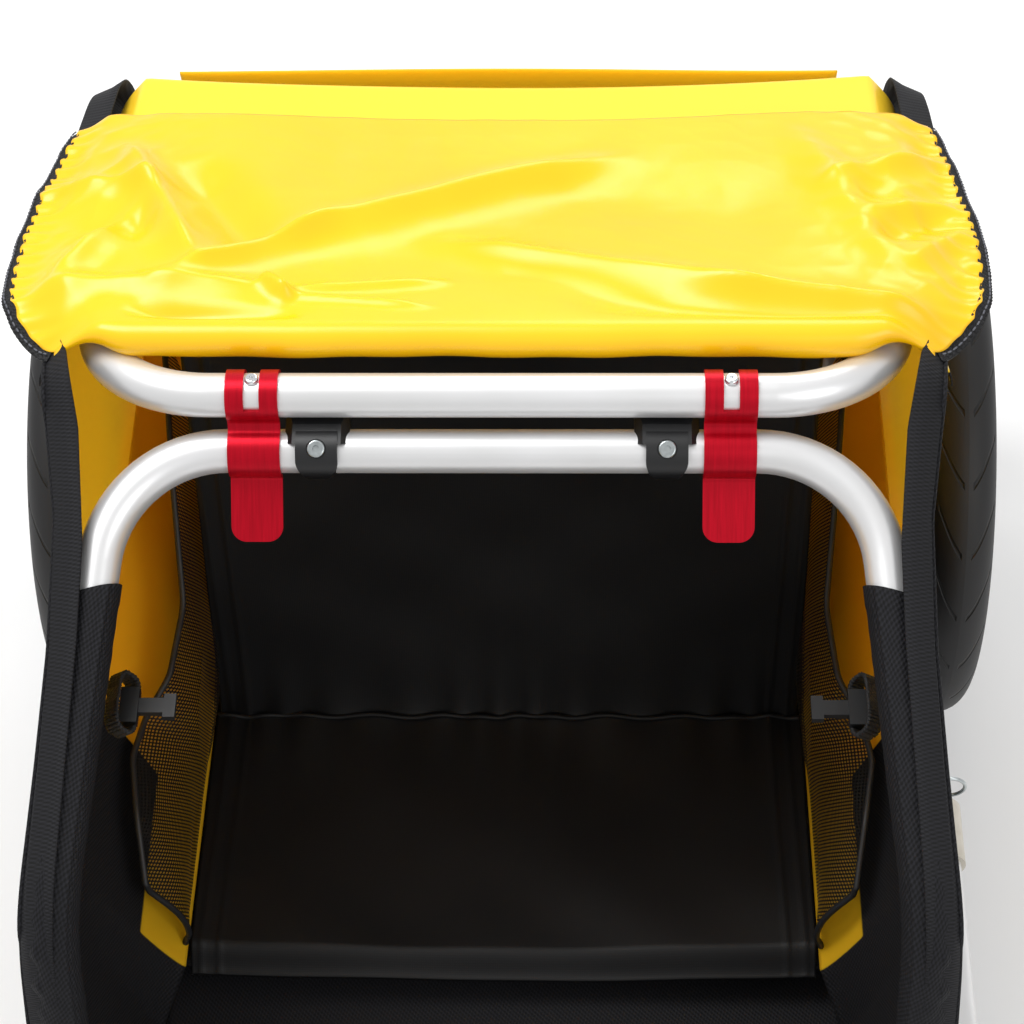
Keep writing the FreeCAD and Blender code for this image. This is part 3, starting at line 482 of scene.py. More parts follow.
# The lining is painted darker where its threads lie low: painted shade between the threads.
def lining_colour_with_painted_shade(tree):
    return between(tree, plain_height(tree, LINING_PITCH), 0.0, 1.0, "#060607", "#121215")


def lining_relief(tree):
    return bump(tree, plain_height(tree, LINING_PITCH), 0.0001, 0.5)


# The webbing is painted darker where its threads lie low and lighter on the rib: painted shade and highlight
# in the weave.
def webbing_colour_with_painted_shade(tree):
    return between(tree, twill_height(tree, WEBBING_PITCH), 0.2, 1.0, "#050506", "#161619")


def webbing_relief(tree):
    return bump(tree, twill_height(tree, WEBBING_PITCH), 0.0003, 0.9)


def two_tone(name, see_through):
    """Yellow cloth that turns to black twill where the border attribute is above 0.

    see_through is the share of light that passes the yellow part.
    """
    material = bpy.data.materials.new(name)
    material.use_nodes = True
    tree = material.node_tree
    tree.nodes.clear()
    distance = node(tree, "ShaderNodeAttribute", out=2, attribute_name="border")
    black = node(tree, "ShaderNodeMapRange", {0: distance, 1: -0.3, 2: 0.3, 3: 0.0, 4: 1.0})
    # The black part takes the twill colour, with its painted shade between the threads.
    colours = {0: black, 6: srgb("#FFD22E"), 7: twill_colour_with_painted_shade(tree)}
    colour = node(tree, "ShaderNodeMix", colours, out=2, data_type="RGBA")
    height = calc(tree, "MULTIPLY", calc(tree, "MULTIPLY", twill_height(tree, TWILL_PITCH), black), 0.0003)
    edge = calc(tree, "MULTIPLY", black, 0.0007)
    relief = bump(tree, calc(tree, "ADD", height, edge), 1.0, 0.9)
    rough = node(tree, "ShaderNodeMapRange", {0: black, 1: 0.0, 2: 1.0, 3: 0.42, 4: 0.75})
    inputs = {"Base Color": colour, "Roughness": rough, "Normal": relief, "Specular IOR Level": 0.3}
    shader = node(tree, "ShaderNodeBsdfPrincipled", inputs)
    if see_through:
        glow = node(tree, "ShaderNodeBsdfTranslucent", {"Color": srgb("#FFE564")})
        share = calc(tree, "MULTIPLY", calc(tree, "SUBTRACT", 1.0, black), see_through)
        shader = node(tree, "ShaderNodeMixShader", {0: share, 1: shader, 2: glow})
    node(tree, "ShaderNodeOutputMaterial", {"Surface": shader})
    return material


yellow_gloss = new_material(
    "yellow_coated_polyester", mottled(7.0, "#F9BC04", "#FDC60A"), 0.3, 0.0, fine_weave,
    Specular_IOR_Level=0.5)
wall_cloth = two_tone("yellow_and_black_wall_cloth", 0.5)
roof_cloth = two_tone("yellow_roof_cloth_with_black_hem", 0.0)
twill = new_material("coarse_black_twill", twill_colour_with_painted_shade, 0.75, 0.0, twill_relief, Specular_IOR_Level=0.25)
lining = new_material("black_lining", lining_colour_with_painted_shade, 0.55, 0.0, lining_relief, Specular_IOR_Level=0.3)
webbing = new_material("black_webbing", webbing_colour_with_painted_shade, 0.7, 0.0, webbing_relief)
piping_grey = new_material("grey_piping", "#1C1D21", 0.55)
stitch_grey = new_material("grey_stitches", "#5A5C64", 0.6)


def net_material():
    """An open net: round holes on a slanted grid."""
    material = new_material("black_net", "#060607", 0.6)
    tree = material.node_tree
    shader = next(n for n in tree.nodes if n.bl_idname == "ShaderNodeBsdfPrincipled")
    split = tree.nodes.new("ShaderNodeSeparateXYZ")
    tree.links.new(cloth_point(tree), split.inputs[0])
    half_v = calc(tree, "MULTIPLY", split.outputs[1], 0.5)
    u = wave(tree, calc(tree, "ADD", split.outputs[0], half_v), NET_PITCH)
    v = wave(tree, split.outputs[1], NET_PITCH * 0.86)
    hole = calc(tree, "MULTIPLY", u, v)
    solid = node(tree, "ShaderNodeMapRange", {0: hole, 1: 0.30, 2: 0.38, 3: 1.0, 4: 0.0})
    tree.links.new(solid, shader.inputs["Alpha"])
    return material


net = net_material()

# %% [markdown]
# ## CAD pieces
# The hard pieces keep their CAD mesh and get the materials above.

# %% Paint the CAD nodes

slot_of = {s["node"]: s["material_slot"] for s in frame["record"]["subparts"]}
finish_of = {
    "satin_aluminium": satin_aluminium,
    "rim_aluminium": rim_alloy,
    "hub_aluminium": hub_alloy,
    "cast_grey": cast_alloy,
    "zinc_steel": zinc,
    "bright_screw": bright,
    "spoke_steel": spoke_steel,
    "red_anodised": red_anodised,
    "black_plastic": black_plastic,
    "button_grey": grey_plastic,
    "valve_black": soft_rubber,
    "reflector_amber": amber,
    "tyre_rubber": tyre_rubber,
    "coupling_rubber": soft_rubber,
    "black_twill": twill,
    "black_lining": lining,
    "webbing": webbing,
    "yellow_fabric": yellow_gloss,
    "black_mesh": net,
}
for name, piece in frame["nodes"].items():
    piece.data.materials.clear()
    piece.data.materials.append(finish_of[slot_of[name]])
    piece.data.polygons.foreach_set("material_index", np.zeros(len(piece.data.polygons), np.int32))

# %% [markdown]
# ## Sleeves
# Each sleeve is a cloth tube round the front hoop's rail and knee. Its radius is 14.3 mm plus small waves,
# with two raised seams, gathers at the knee and a thick cuff that is cut at a slant and turned in.

# %% Sleeves


def hoop_line():
    """The centre line of the front hoop's left side, from the crossbar's corner to the foot."""
    top = (BAR_END_X, 0.0, BAR_Z)
    knee = (RAIL_X, *FRONT_KNEE)
    foot = (RAIL_X, *FRONT_FOOT)
    return rounded([top, knee, foot], 90, 240)


SLEEVE_START = 82.0
SLEEVE_END_GAP = 42
SLEEVE_R = 14.3
CUFF_BORE_R = 13.1
FOOT_BORE_R = 13.2
CUFF_SLANT = 5.5
CUFF_TUCK = 14


def rings(line, radius, angles, across, over):
    """A row of points round each point of a line. radius is a number, or one value per point and angle."""
    radius = np.asarray(radius, float)[..., None]
    return line[:, None] + radius * (np.cos(angles)[..., None] * across[:, None]
                                     + np.sin(angles)[..., None] * over[:, None])


def ridge(angles, middle, width):
    """1 at the middle angle, falling to 0 over a width in radians on both sides."""
    return np.exp(-(np.angle(np.exp(1j * (angles - middle))) / width) ** 2)


def build_sleeve(name, side):
    """One sleeve, from the slanted cuff on the hoop's rail down to the foot. a is the angle round it."""
    line = hoop_line()
    along = lengths(line)
    keep = (along > SLEEVE_START) & (along < along[-1] - SLEEVE_END_GAP)
    line, along = line[keep], along[keep] - SLEEVE_START
    ahead, across, over = frames_along(line, np.array([0, -0.35, 1.0]))
    angles = np.linspace(0, 2 * math.pi, 72, endpoint=False)
    a = angles[None]
    s = along[:, None]
    seams = 1.3 * ridge(a, 0.9, 0.09) + 0.5 * ridge(a, 0.62, 0.06)
    folds = 0.6 * ruffle(a * 1.3, s / 26, 11, low=1, high=2.2) + 0.5 * ruffle(a * 2, s / 9, 12)
    at_knee = np.exp(-((s - 215) / 26) ** 2) * (np.cos(a - 3.6) > 0)
    knee_gather = 1.4 * np.sin(s / 3.2 + 1.5 * np.sin(a)) * at_knee
    cuff = 0.5 * smooth((13 - s) / 2.0)
    radius = SLEEVE_R + seams + folds * smooth(s / 40) + knee_gather + cuff
    slant = CUFF_SLANT * np.cos(a - math.pi)
    shift = slant * smooth((30 - s) / 30)
    grid = rings(line, radius, a, across, over) + shift[..., None] * ahead[:, None]
    inner = rings(line[:1], CUFF_BORE_R, a, across[:1], over[:1]) + slant[..., None] * ahead[:1, None]
    tuck = inner + CUFF_TUCK * ahead[:1, None]
    end = rings(line[-1:], FOOT_BORE_R, a, across[-1:], over[-1:])
    grid = np.concatenate([tuck, inner, grid, end])
    v = np.concatenate([[-CUFF_TUCK, 0], along, [along[-1] + 3]])
    uv = np.stack(np.broadcast_arrays(a * SLEEVE_R, v[:, None]), -1)
    piece = surface(f"woven_sleeve_{name}", mirrored(grid, side), uv, [twill], ring=True)
    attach(piece, "front_hoop")
    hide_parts(f"sleeve_{name}")
    return piece


sleeves = both_sides(build_sleeve)

# %% [markdown]
# ## Side walls
# A wall is a ruled surface. With t from the rail (0) to the roof line (1) and s along the body,
# P(s, t) = (1 - t) * bottom(s) + t * roof(s), bulged a little outwards. The top edge turns in over the
# hoops. A black border follows it, and the wall is black below a line that drops towards the rear.

# %% Side walls

WALL_LIFT = 15.0
WALL_FOOT_X, WALL_FOOT_Z = 266.5, 232.0
TURNED_IN = 13
BORDER = 30
PIPING_DROP = 16


def roof_line(count):
    """The line just above the hoops, from the front foot to the rear foot, as (y, z)."""
    corners = [
        (FRONT_FOOT[0] - 14, FRONT_FOOT[1]),
        (FRONT_KNEE[0] - 9, FRONT_KNEE[1] + WALL_LIFT),
        (4.0, BAR_Z + WALL_LIFT + 9),
        (30.0, REAR_BAR_Z + WALL_LIFT - 3),
        (REAR_KNEE[0] + 9, REAR_KNEE[1] + WALL_LIFT),
        (REAR_FOOT[0] + 14, REAR_FOOT[1]),
    ]
    return rounded(corners, 90, count)


def wall_grid():
    """The left wall's grid and UV map, and each point's distance down from the top edge."""
    cols, rows = 260, 70
    top = roof_line(cols)
    bottom_y = np.linspace(FRONT_FOOT[0] + 2, REAR_FOOT[0] - 2, cols)
    bottom = np.stack([bottom_y, np.full(cols, WALL_FOOT_Z)], -1)
    t = np.linspace(0, 1, rows)[:, None]
    s = np.linspace(0, 1, cols)[None]
    y = (1 - t) * bottom[None, :, 0] + t * top[None, :, 0]
    z = (1 - t) * bottom[None, :, 1] + t * top[None, :, 1]
    edge = lengths(top)[None]
    height = np.hypot(top[:, 0] - bottom[:, 0], top[:, 1] - bottom[:, 1])[None]
    from_top = (1 - t) * height
    turned = smooth((TURNED_IN - from_top) / TURNED_IN)
    top_y = top[:, 0]
    seam_x = np.interp(top_y, [-300, -245, -110, -60, 0, 45, 85], [244, 240, 232, 231, 236, 246, 262])[None]
    top_x = np.interp(top_y, [-300, -245, -170, -110, -40, 20, 90, 300, 480],
                      [262, 260, 254, 250, 249, 257, 264, 264, 262])[None]
    under_roof = smooth((top_y - 60) / 40)[None] * smooth((430 - top_y) / 60)[None]
    lip = 22 * under_roof * np.exp(-((from_top - 6) / 30) ** 2)
    widening = np.interp(from_top, [0, 34, 80, 160, 280], [0, 0, 0.4, 0.7, 1.0])
    waves = 1.6 * ruffle(s * 6, t * 4, 21) + 0.8 * ruffle(s * 16 + t * 3, t * 6, 22)
    flat_x = top_x + (WALL_FOOT_X - top_x) * widening + lip + waves * np.sin(math.pi * t) ** 0.5
    x = flat_x * (1 - turned) + seam_x * turned
    grid = np.stack(np.broadcast_arrays(x, y, z), -1)
    uv = np.stack(np.broadcast_arrays(edge + 0 * t, t * height), -1)
    return grid, uv, from_top


def build_wall(name, side):
    """One side wall: the mirrored right one has its UV map and border reversed with it."""
    grid, uv, from_top = wall_grid()
    low_edge = 322 + 75 * smooth(-grid[..., 1] / 70)
    border = np.maximum(BORDER - from_top, low_edge - grid[..., 2])
    if side < 0:
        uv, border = uv[:, ::-1], border[:, ::-1]
    piece = surface(
        f"side_wall_{name}", mirrored(grid, side), uv, [wall_cloth], thickness=1.2, border=border)
    flatten_with_fold(piece)
    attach(piece, "floor_frame")
    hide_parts(f"side_panel_{name}", "side_skirts")
    return piece


walls = both_sides(build_wall)


def build_wall_piping(name, side):
    """A round piping along the black border, just below the wall's turned-in edge."""
    grid, _, from_top = wall_grid()
    nearest_row = np.argmin(np.abs(from_top - PIPING_DROP), axis=0)
    line = resampled(grid[nearest_row, np.arange(grid.shape[1])], 240)
    line[:, 0] += 1.0
    line[:, 0] *= side
    piece = tube(f"wall_piping_{name}", line, 1.5, (1, 0, 0.3), twill, around=8)
    flatten_with_fold(piece)
    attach(piece, "floor_frame")
    return piece


pipings = both_sides(build_wall_piping)

# %% [markdown]
# ## Cover and roof
# Both are written over the roof plane: v runs down the roof from its front, and h is the height above the
# plane. The cover is thrown back over the roof. Its front edge is a roll. Its height adds up a sag,
# drooping corners, single folds, small facets towards the sides and a puckered hem.

# %% Cover

ROOF_SLOPE = math.radians(17)
ROOF_FRONT = (52.0, 692.0)
ROLL_V, ROLL_R = 3.0, 11.0
ROLL_EDGE_R = 2.5
FLAP_END = 262.0
FLAP_HALF_WIDTH = 286
GATHER_PITCH = 12.5
FOLD_SCALE = 1.6

# The cover's folds: start (x, v), end (x, v), width, height (below 0 in a valley) and sharpness.
COVER_FOLDS = (
    ((262, 14), (120, 44), 9, 7.5, 0.5),
    ((150, 38), (-30, 100), 12, 7, 0.4),
    ((250, 4), (60, 32), 16, -5, 1.0),
    ((190, 232), (236, 52), 14, 5, 0.6),
    ((-196, 40), (-96, 118), 10, 8, 0.4),
    ((-120, 104), (70, 206), 15, 10, 0.5),
    ((-176, 62), (-242, 216), 12, 9, 0.5),
    ((-140, 90), (-196, 190), 18, -7, 1.0),
    ((-276, 42), (-128, 36), 11, 6, 0.5),
    ((-205, 14), (-112, 6), 8, -7, 1.0),
    ((-262, 46), (-222, 132), 10, 6, 0.4),
    ((-286, 168), (-205, 150), 10, 6, 0.4),
    ((-262, 120), (-208, 112), 16, -5, 1.0),
    ((200, 160), (284, 208), 11, 6, 0.4),
    ((244, 62), (284, 116), 12, 6, 0.4),
    ((222, 120), (286, 150), 10, 5, 0.4),
    ((230, 96), (270, 132), 14, -4, 1.0),
    ((20, 190), (180, 120), 40, -4, 1.0),
    ((-122, 36), (-30, 52), 5, 3, 0.5),
    ((-126, 30), (-40, 20), 4, 2.5, 0.5),
    ((-136, 44), (-118, 26), 5, 6, 0.6),
)


def on_roof(x, v, h):
    """The millimetre point that is v down the roof plane and h above it."""
    y = ROOF_FRONT[0] + v * math.cos(ROOF_SLOPE) + h * math.sin(ROOF_SLOPE)
    z = ROOF_FRONT[1] - v * math.sin(ROOF_SLOPE) + h * math.cos(ROOF_SLOPE)
    return np.stack(np.broadcast_arrays(x, y, z), -1)


def flap_half_width(v):
    """Half the cover's width: narrow at its front corners, widest over the rear hoop."""
    return np.interp(v, [-12, 0, 10, 25, 45, 75, 123, 167, 216, FLAP_END],
                     [246, 250, 263, 277, 286, 289, 290, 287, 283, 277])


def flap_height(x, v):
    """The crumpled top of the cover: a sag between the rails, drooping corners, folds and small facets."""
    far = np.abs(x)
    sag = -7 * smooth((235 - far) / 200) * smooth(v / 90)
    droop = -26 * smooth((far - 222) / 42) * smooth((40 - v) / 46) - 9 * smooth((far - 246) / 34)
    folds = 0.0 * x
    for start, end, width, height, sharp in COVER_FOLDS:
        folds = folds + crease(x, v, start, end, width, height, sharp)
    near_side = smooth((far - 170) / 90)
    facets = np.abs(ruffle(x / 17, v / 15, 31, 6, 0.5, 1.4))
    facets = facets + 0.6 * np.abs(ruffle(x / 9, v / 8, 32, 5, 0.5, 1.3))
    off_roll = smooth((v - 6) / 34)
    h = 2 + sag + droop + FOLD_SCALE * folds * smooth((v - 3) / 16)
    h = h - 4.5 * facets * (0.12 + near_side) * off_roll
    soft = 1.6 * ruffle(x / 60, v / 50, 33, 6, 0.5, 1.6) * off_roll
    hem = smooth((far - flap_half_width(v) + 24) / 20) * smooth(v / 20)
    pucker = 0.9 * np.sin(2 * math.pi * v / GATHER_PITCH + 1.5 * np.sin(v / 23))
    return h + soft + hem * pucker


def build_flap():
    """The cover, and the lines of its right and left side edges."""
    cols, top_rows, roll_count = 260, 150, 18
    u = np.linspace(-1, 1, cols)[None]
    u = np.sign(u) * np.abs(u) ** 0.94
    top_v = ROLL_V + (FLAP_END - ROLL_V) * np.linspace(0, 1, top_rows)[:, None] ** 1.12
    x = u * flap_half_width(top_v)
    scallop = 0.7 * np.sin(2 * math.pi * top_v / GATHER_PITCH) * smooth((np.abs(u) - 0.95) / 0.05)
    h = flap_height(x, top_v)
    top = on_roof(x + np.sign(u) * scallop, top_v, h)
    radius = ROLL_EDGE_R + (ROLL_R - ROLL_EDGE_R) * smooth((0.97 - np.abs(u)) / 0.16)
    radius = radius * (1 + 0.02 * np.sin(u * 11) + 0.015 * np.sin(u * 27 + 1))
    angle = np.radians(np.linspace(345, 96, roll_count))[:, None]
    roll = on_roof(x[:1], ROLL_V + radius * np.cos(angle), h[:1] - radius + radius * np.sin(angle))
    grid = np.concatenate([roll, top])
    along = np.concatenate([np.linspace(-4 * ROLL_R, 0, roll_count), top_v[:, 0]])[:, None]
    uv = np.stack(np.broadcast_arrays(u * FLAP_HALF_WIDTH, along), -1)
    piece = surface("cover", grid, uv, [yellow_gloss], thickness=0.8)
    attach(piece, "rear_hoop")
    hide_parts("front_flap")
    return piece, top[:, 0], top[:, -1]


cover, right_edge, left_edge = build_flap()

# %% [markdown]
# An elastic band runs under each side edge of the cover, gathered into small ribs and stitched through.

# %% Elastic bands

STITCH_PITCH = 4.6
STITCH_LENGTH = 2.8


def calmed(line, reach):
    """The line with its small wiggles averaged out over some neighbours on each side."""
    kernel = np.hanning(2 * reach + 1)
    kernel /= kernel.sum()
    padded = np.pad(line, ((reach, reach), (0, 0)), mode="reflect", reflect_type="odd")
    return np.stack([np.convolve(padded[:, i], kernel, "valid") for i in range(3)], -1)


def build_elastic(name, edge, side):
    line = calmed(resampled(edge, 520), 24)
    line = line + np.array([side * 2.0, 0, -3.0])
    piece = ribbon(f"elastic_{name}", line, 9.0, (side * 0.55, 0.0, 0.85), webbing, 1.6, 0.6, 3.4)
    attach(piece, "rear_hoop")
    return piece


def build_edge_stitches(name, edge, side):
    """A dashed line of thread along the elastic: one short thread per gather."""
    line = calmed(resampled(edge, 700), 32) + np.array([side * 4.4, 0, -1.6])
    along = lengths(line)
    shown = along % STITCH_PITCH < STITCH_LENGTH
    radius = np.where(shown, 0.55, 0.05)
    piece = tube(f"elastic_stitches_{name}", line, radius, (side * 0.55, 0, 0.85), stitch_grey, around=6)
    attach(piece, "rear_hoop")
    return piece


elastics = [build_elastic("right", right_edge, -1), build_elastic("left", left_edge, 1)]
edge_stitches = [build_edge_stitches("right", right_edge, -1), build_edge_stitches("left", left_edge, 1)]

# %% [markdown]
# The roof lies on the rear hoop's rails, from the crossbar to the knees, and turns down over the side walls.

# %% Roof

ROOF_HALF = 246.0
ROOF_DROP = 40.0
ROOF_HEM = 12


def build_roof():
    rows, cols = 120, 160
    v = np.linspace(10, 372, rows)[:, None]
    u = np.linspace(-1, 1, cols)[None]
    out = np.abs(u) * (ROOF_HALF + ROOF_DROP)
    over = np.clip(out - ROOF_HALF, 0, ROOF_DROP)
    lying = np.minimum(out, ROOF_HALF)
    x = np.sign(u) * (lying + 21 * np.sin(np.clip(over / ROOF_DROP, 0, 1) * 0.5 * math.pi))
    sag = -9 * (1 - (lying / ROOF_HALF) ** 2) * smooth((v - 30) / 80)
    h = -14.5 + sag - over * 0.85 + 1.2 * ruffle(x / 50, v / 45, 41, 6, 0.5, 1.5)
    h = h + 1.6 * np.sin(v / 7 + 2 * np.sin(u * 3)) * smooth((over - 16) / 20)
    bend = smooth((v - 340) / 34)
    grid = on_roof(x, v - 3 * bend, h - 15 * bend)
    uv = np.stack(np.broadcast_arrays(np.sign(u) * out, v), -1)
    border = out - (ROOF_HALF + ROOF_DROP - ROOF_HEM)
    piece = surface("roof", grid, uv, [roof_cloth], thickness=1.0, border=border)
    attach(piece, "rear_hoop")
    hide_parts("roof_cover")
    return piece


roof = build_roof()

# %% [markdown]
# ## Seat
# Seat and back are black lining hung between the side walls, sewn together along a gathered seam, with a
# pair of upright seams near each side. Ripples fade away from the cross seam. s runs away from that seam
# along the cloth, and x across it.

# %% Seat

SEAM_Y, SEAM_Z = 70, 251
SEAT_BACK_HALF, SEAT_BACK_LENGTH = 204, 318
SEAT_BASE_HALF, SEAT_BASE_LENGTH = 207, 206
SEAT_BACK_LEAN = 0.25
STITCH_LINE_X = 184
STITCH_LINE_GAP = 12


def seat_folds(x, s, seed):
    """Ripples that fade away from the cross seam, wide soft folds and small wrinkles."""
    gathers = 1.6 * np.sin(x / 5.5 + 2.2 * np.sin(x / 31)) * np.exp(-s / 26)
    wide = 3.0 * ruffle(x / 60, s / 45, seed, 7, 0.5, 1.7)
    return gathers + wide + 0.8 * ruffle(x / 22, s / 18, seed + 1, 6, 0.5, 1.5)


def seam_ridges(x, s):
    """Two pairs of upright stitched seams that spread a little towards the top."""
    inner_x = STITCH_LINE_X + 0.02 * s
    first = np.exp(-((np.abs(x) - inner_x) / 1.6) ** 2)
    second = np.exp(-((np.abs(x) - inner_x - STITCH_LINE_GAP) / 1.6) ** 2)
    return 1.3 * (first + second)


def build_seat_back():
    rows, cols = 130, 240
    s = np.linspace(0, SEAT_BACK_LENGTH, rows)[:, None]
    x = np.linspace(-SEAT_BACK_HALF, SEAT_BACK_HALF, cols)[None]
    y = SEAM_Y + s * SEAT_BACK_LEAN
    z = SEAM_Z + s * 0.968
    hang = np.sin(math.pi * np.clip(s / SEAT_BACK_LENGTH, 0, 1)) ** 0.7
    sag = 20 * (1 - (x / SEAT_BACK_HALF) ** 2) * hang
    out = sag + seat_folds(x, s, 51) - seam_ridges(x, s)
    grid = np.stack(np.broadcast_arrays(x, y + out, z - SEAT_BACK_LEAN * out), -1)[::-1]
    uv = np.stack(np.broadcast_arrays(x, s), -1)[::-1]
    piece = surface("seat_back", grid, uv, [lining], thickness=2.0)
    flatten_with_fold(piece)
    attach(piece, "floor_frame")
    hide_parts("seat_back")
    return piece


def build_seat_base():
    rows, cols = 110, 240
    s = np.linspace(0, SEAT_BASE_LENGTH, rows)[:, None]
    x = np.linspace(-SEAT_BASE_HALF, SEAT_BASE_HALF, cols)[None]
    y = SEAM_Y - s
    sag = 14 * (1 - (x / SEAT_BASE_HALF) ** 2) * np.sin(math.pi * np.clip(s / 230, 0, 1)) ** 0.8
    rise = 20 * (s / SEAT_BASE_LENGTH)
    lip = 16 * smooth((s - 188) / 18)
    z = SEAM_Z + rise - sag + seat_folds(x, s, 61) + 0.7 * seam_ridges(x, s) - lip
    grid = np.stack(np.broadcast_arrays(x, y, z), -1)
    uv = np.stack(np.broadcast_arrays(x, s), -1)
    piece = surface("seat_base", grid, uv, [lining], thickness=2.4)
    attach(piece, "floor_frame")
    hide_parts("seat_base")
    return piece


seat_back = build_seat_back()
seat_base = build_seat_base()


def build_seam_welt():
    """The rolled seam allowance where seat and back are sewn together."""
    x = np.linspace(-206, 206, 300)
    y = SEAM_Y - 2 + 0.8 * np.sin(x / 9)
    z = SEAM_Z + 2.5 + 0.9 * np.sin(x / 5.5 + 2.2 * np.sin(x / 31))
    line = np.stack([x, y, z], -1)
    piece = tube("seat_seam", line, 1.9, (0, 0, 1), lining, around=10)
    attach(piece, "floor_frame")
    return piece


seat_seam = build_seam_welt()


def build_seat_strap(name, y):
    """Webbing from rail to rail, sagging a little under the seat."""
    half = RAIL_X - 4
    x = np.linspace(-half, half, 80)
    sag = 6 * (1 - (x / half) ** 2)
    line = np.stack([x, np.full_like(x, y), 236 - sag], -1)
    piece = ribbon(f"seat_strap_{name}", line, 38.0, (0, 0, 1), webbing, 2.0)
    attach(piece, "floor_frame")
    return piece


seat_straps = [build_seat_strap("front", -100.0), build_seat_strap("rear", 26.0)]
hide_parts("seat_straps")

# %% [markdown]
# ## Floor, rear wall and apron
# The floor cloth is stretched between the side rails. The rear wall is black below and yellow above, and
# the apron closes the front up to the feet of the front hoop.

# %% Floor, rear wall and apron

FLOOR_HALF = 226
REAR_WALL_HALF, REAR_WALL_HEIGHT = 228, 335
APRON_HALF, APRON_HEIGHT = 222, 92


def build_floor():
    rows, cols = 120, 80
    y = np.linspace(-365, 490, rows)[:, None]
    x = np.linspace(-FLOOR_HALF, FLOOR_HALF, cols)[None]
    z = RAIL_Z - 5 * (1 - (x / FLOOR_HALF) ** 2) + 1.2 * ruffle(x / 70, y / 80, 71, 6, 0.5, 1.4)
    grid = np.stack(np.broadcast_arrays(x, y, z), -1)[::-1]
    uv = np.stack(np.broadcast_arrays(x, y), -1)[::-1]
    piece = surface("floor_cloth", grid, uv, [twill], thickness=2.4)
    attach(piece, "floor_frame")
    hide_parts("floor_panel")
    return piece


def build_rear_wall():
    rows, cols = 100, 160
    t = np.linspace(0, 1, rows)[:, None]
    x = np.linspace(-REAR_WALL_HALF, REAR_WALL_HALF, cols)[None]
    y = (1 - t) * 492 + t * (REAR_KNEE[0] + 18)
    z = (1 - t) * 238 + t * (REAR_KNEE[1] - 2)
    out = 5 * np.sin(math.pi * t) * (1 - (x / REAR_WALL_HALF) ** 2)
    out = out + 2.0 * ruffle(x / 60, t * 6, 81, 6, 0.5, 1.5)
    hem = 2.5 * np.exp(-((t - 0.93) / 0.012) ** 2)
    grid = np.stack(np.broadcast_arrays(x, y + out + hem, z), -1)[::-1]
    uv = np.stack(np.broadcast_arrays(x, t * REAR_WALL_HEIGHT), -1)[::-1]
    border = (0.62 - t)[::-1] * REAR_WALL_HEIGHT
    piece = surface("rear_wall", grid, uv, [wall_cloth], thickness=1.4, border=border)
    flatten_with_fold(piece)
    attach(piece, "floor_frame")
    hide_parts("rear_wall")
    return piece


def build_apron():
    rows, cols = 36, 160
    s = np.linspace(0, APRON_HEIGHT, rows)[:, None]
    x = np.linspace(-APRON_HALF, APRON_HALF, cols)[None]
    y = FRONT_FOOT[0] - 25 + 0.04 * s + 1.5 * ruffle(x / 60, s / 30, 91, 6, 0.5, 1.5)
    z = 240 + s - 12 * (1 - (x / APRON_HALF) ** 2) * (s / APRON_HEIGHT)
    grid = np.stack(np.broadcast_arrays(x, y, z), -1)
    uv = np.stack(np.broadcast_arrays(x, s), -1)
    piece = surface("front_apron", grid, uv, [twill], thickness=1.6)
    hem = tube("apron_hem", grid[-1], 2.6, (0, 0, 1), twill, around=10)
    for part in (piece, hem):
        flatten_with_fold(part)
        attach(part, "floor_frame")
    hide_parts("front_apron")
    return piece, hem


floor_cloth = build_floor()
rear_wall = build_rear_wall()
apron, apron_hem = build_apron()

# %% [markdown]
# ## Pockets and hooks
# A net pocket hangs inside each wall, in front of the inner cloth, with grey piping round its mouth.

# %% Net pockets

INNER_TOP_X = 259
INNER_HEIGHT = 160


def seat_edge(y):
    """The line along the seat's side and then the floor's, where the inner cloth is sewn on, as (x, z)."""
    x = np.interp(y, [-335, -170, -140, 70, 170], [227, 224, 208, 208, 214])
    z = np.interp(y, [-335, -170, -140, 66], [241, 243, 274, 254])
    return x, z


def build_inner_side(name, side):
    """The cloth from the seat's and floor's sides up to the wall: yellow, and black at the front."""
    rows, cols = 60, 210
    t = np.linspace(0, 1, rows)[:, None]
    y = np.linspace(330, -333, cols)[None]
    low_x, low_z = seat_edge(y)
    high_z = np.interp(y, [-335, -250, 0], [300, 380, 412])
    waves = 1.6 * ruffle(y / 45, t * 3, 111, 6, 0.5, 1.6) * np.sin(math.pi * t)
    x = low_x + (INNER_TOP_X - low_x) * t ** 0.8 + waves
    z = low_z + (high_z - low_z) * t
    grid = np.stack(np.broadcast_arrays(x, y, z), -1)
    uv = np.stack(np.broadcast_arrays(y, t * INNER_HEIGHT), -1)
    border = np.maximum(np.minimum(-22 - grid[..., 1], grid[..., 0] - 232), -140 - grid[..., 1])
    if side < 0:
        uv, border = uv[:, ::-1], border[:, ::-1]
    piece = surface(
        f"inner_side_{name}", mirrored(grid, side), uv, [wall_cloth], thickness=1.0, border=border)
    flatten_with_fold(piece)
    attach(piece, "floor_frame")
    return piece


inner_sides = both_sides(build_inner_side)


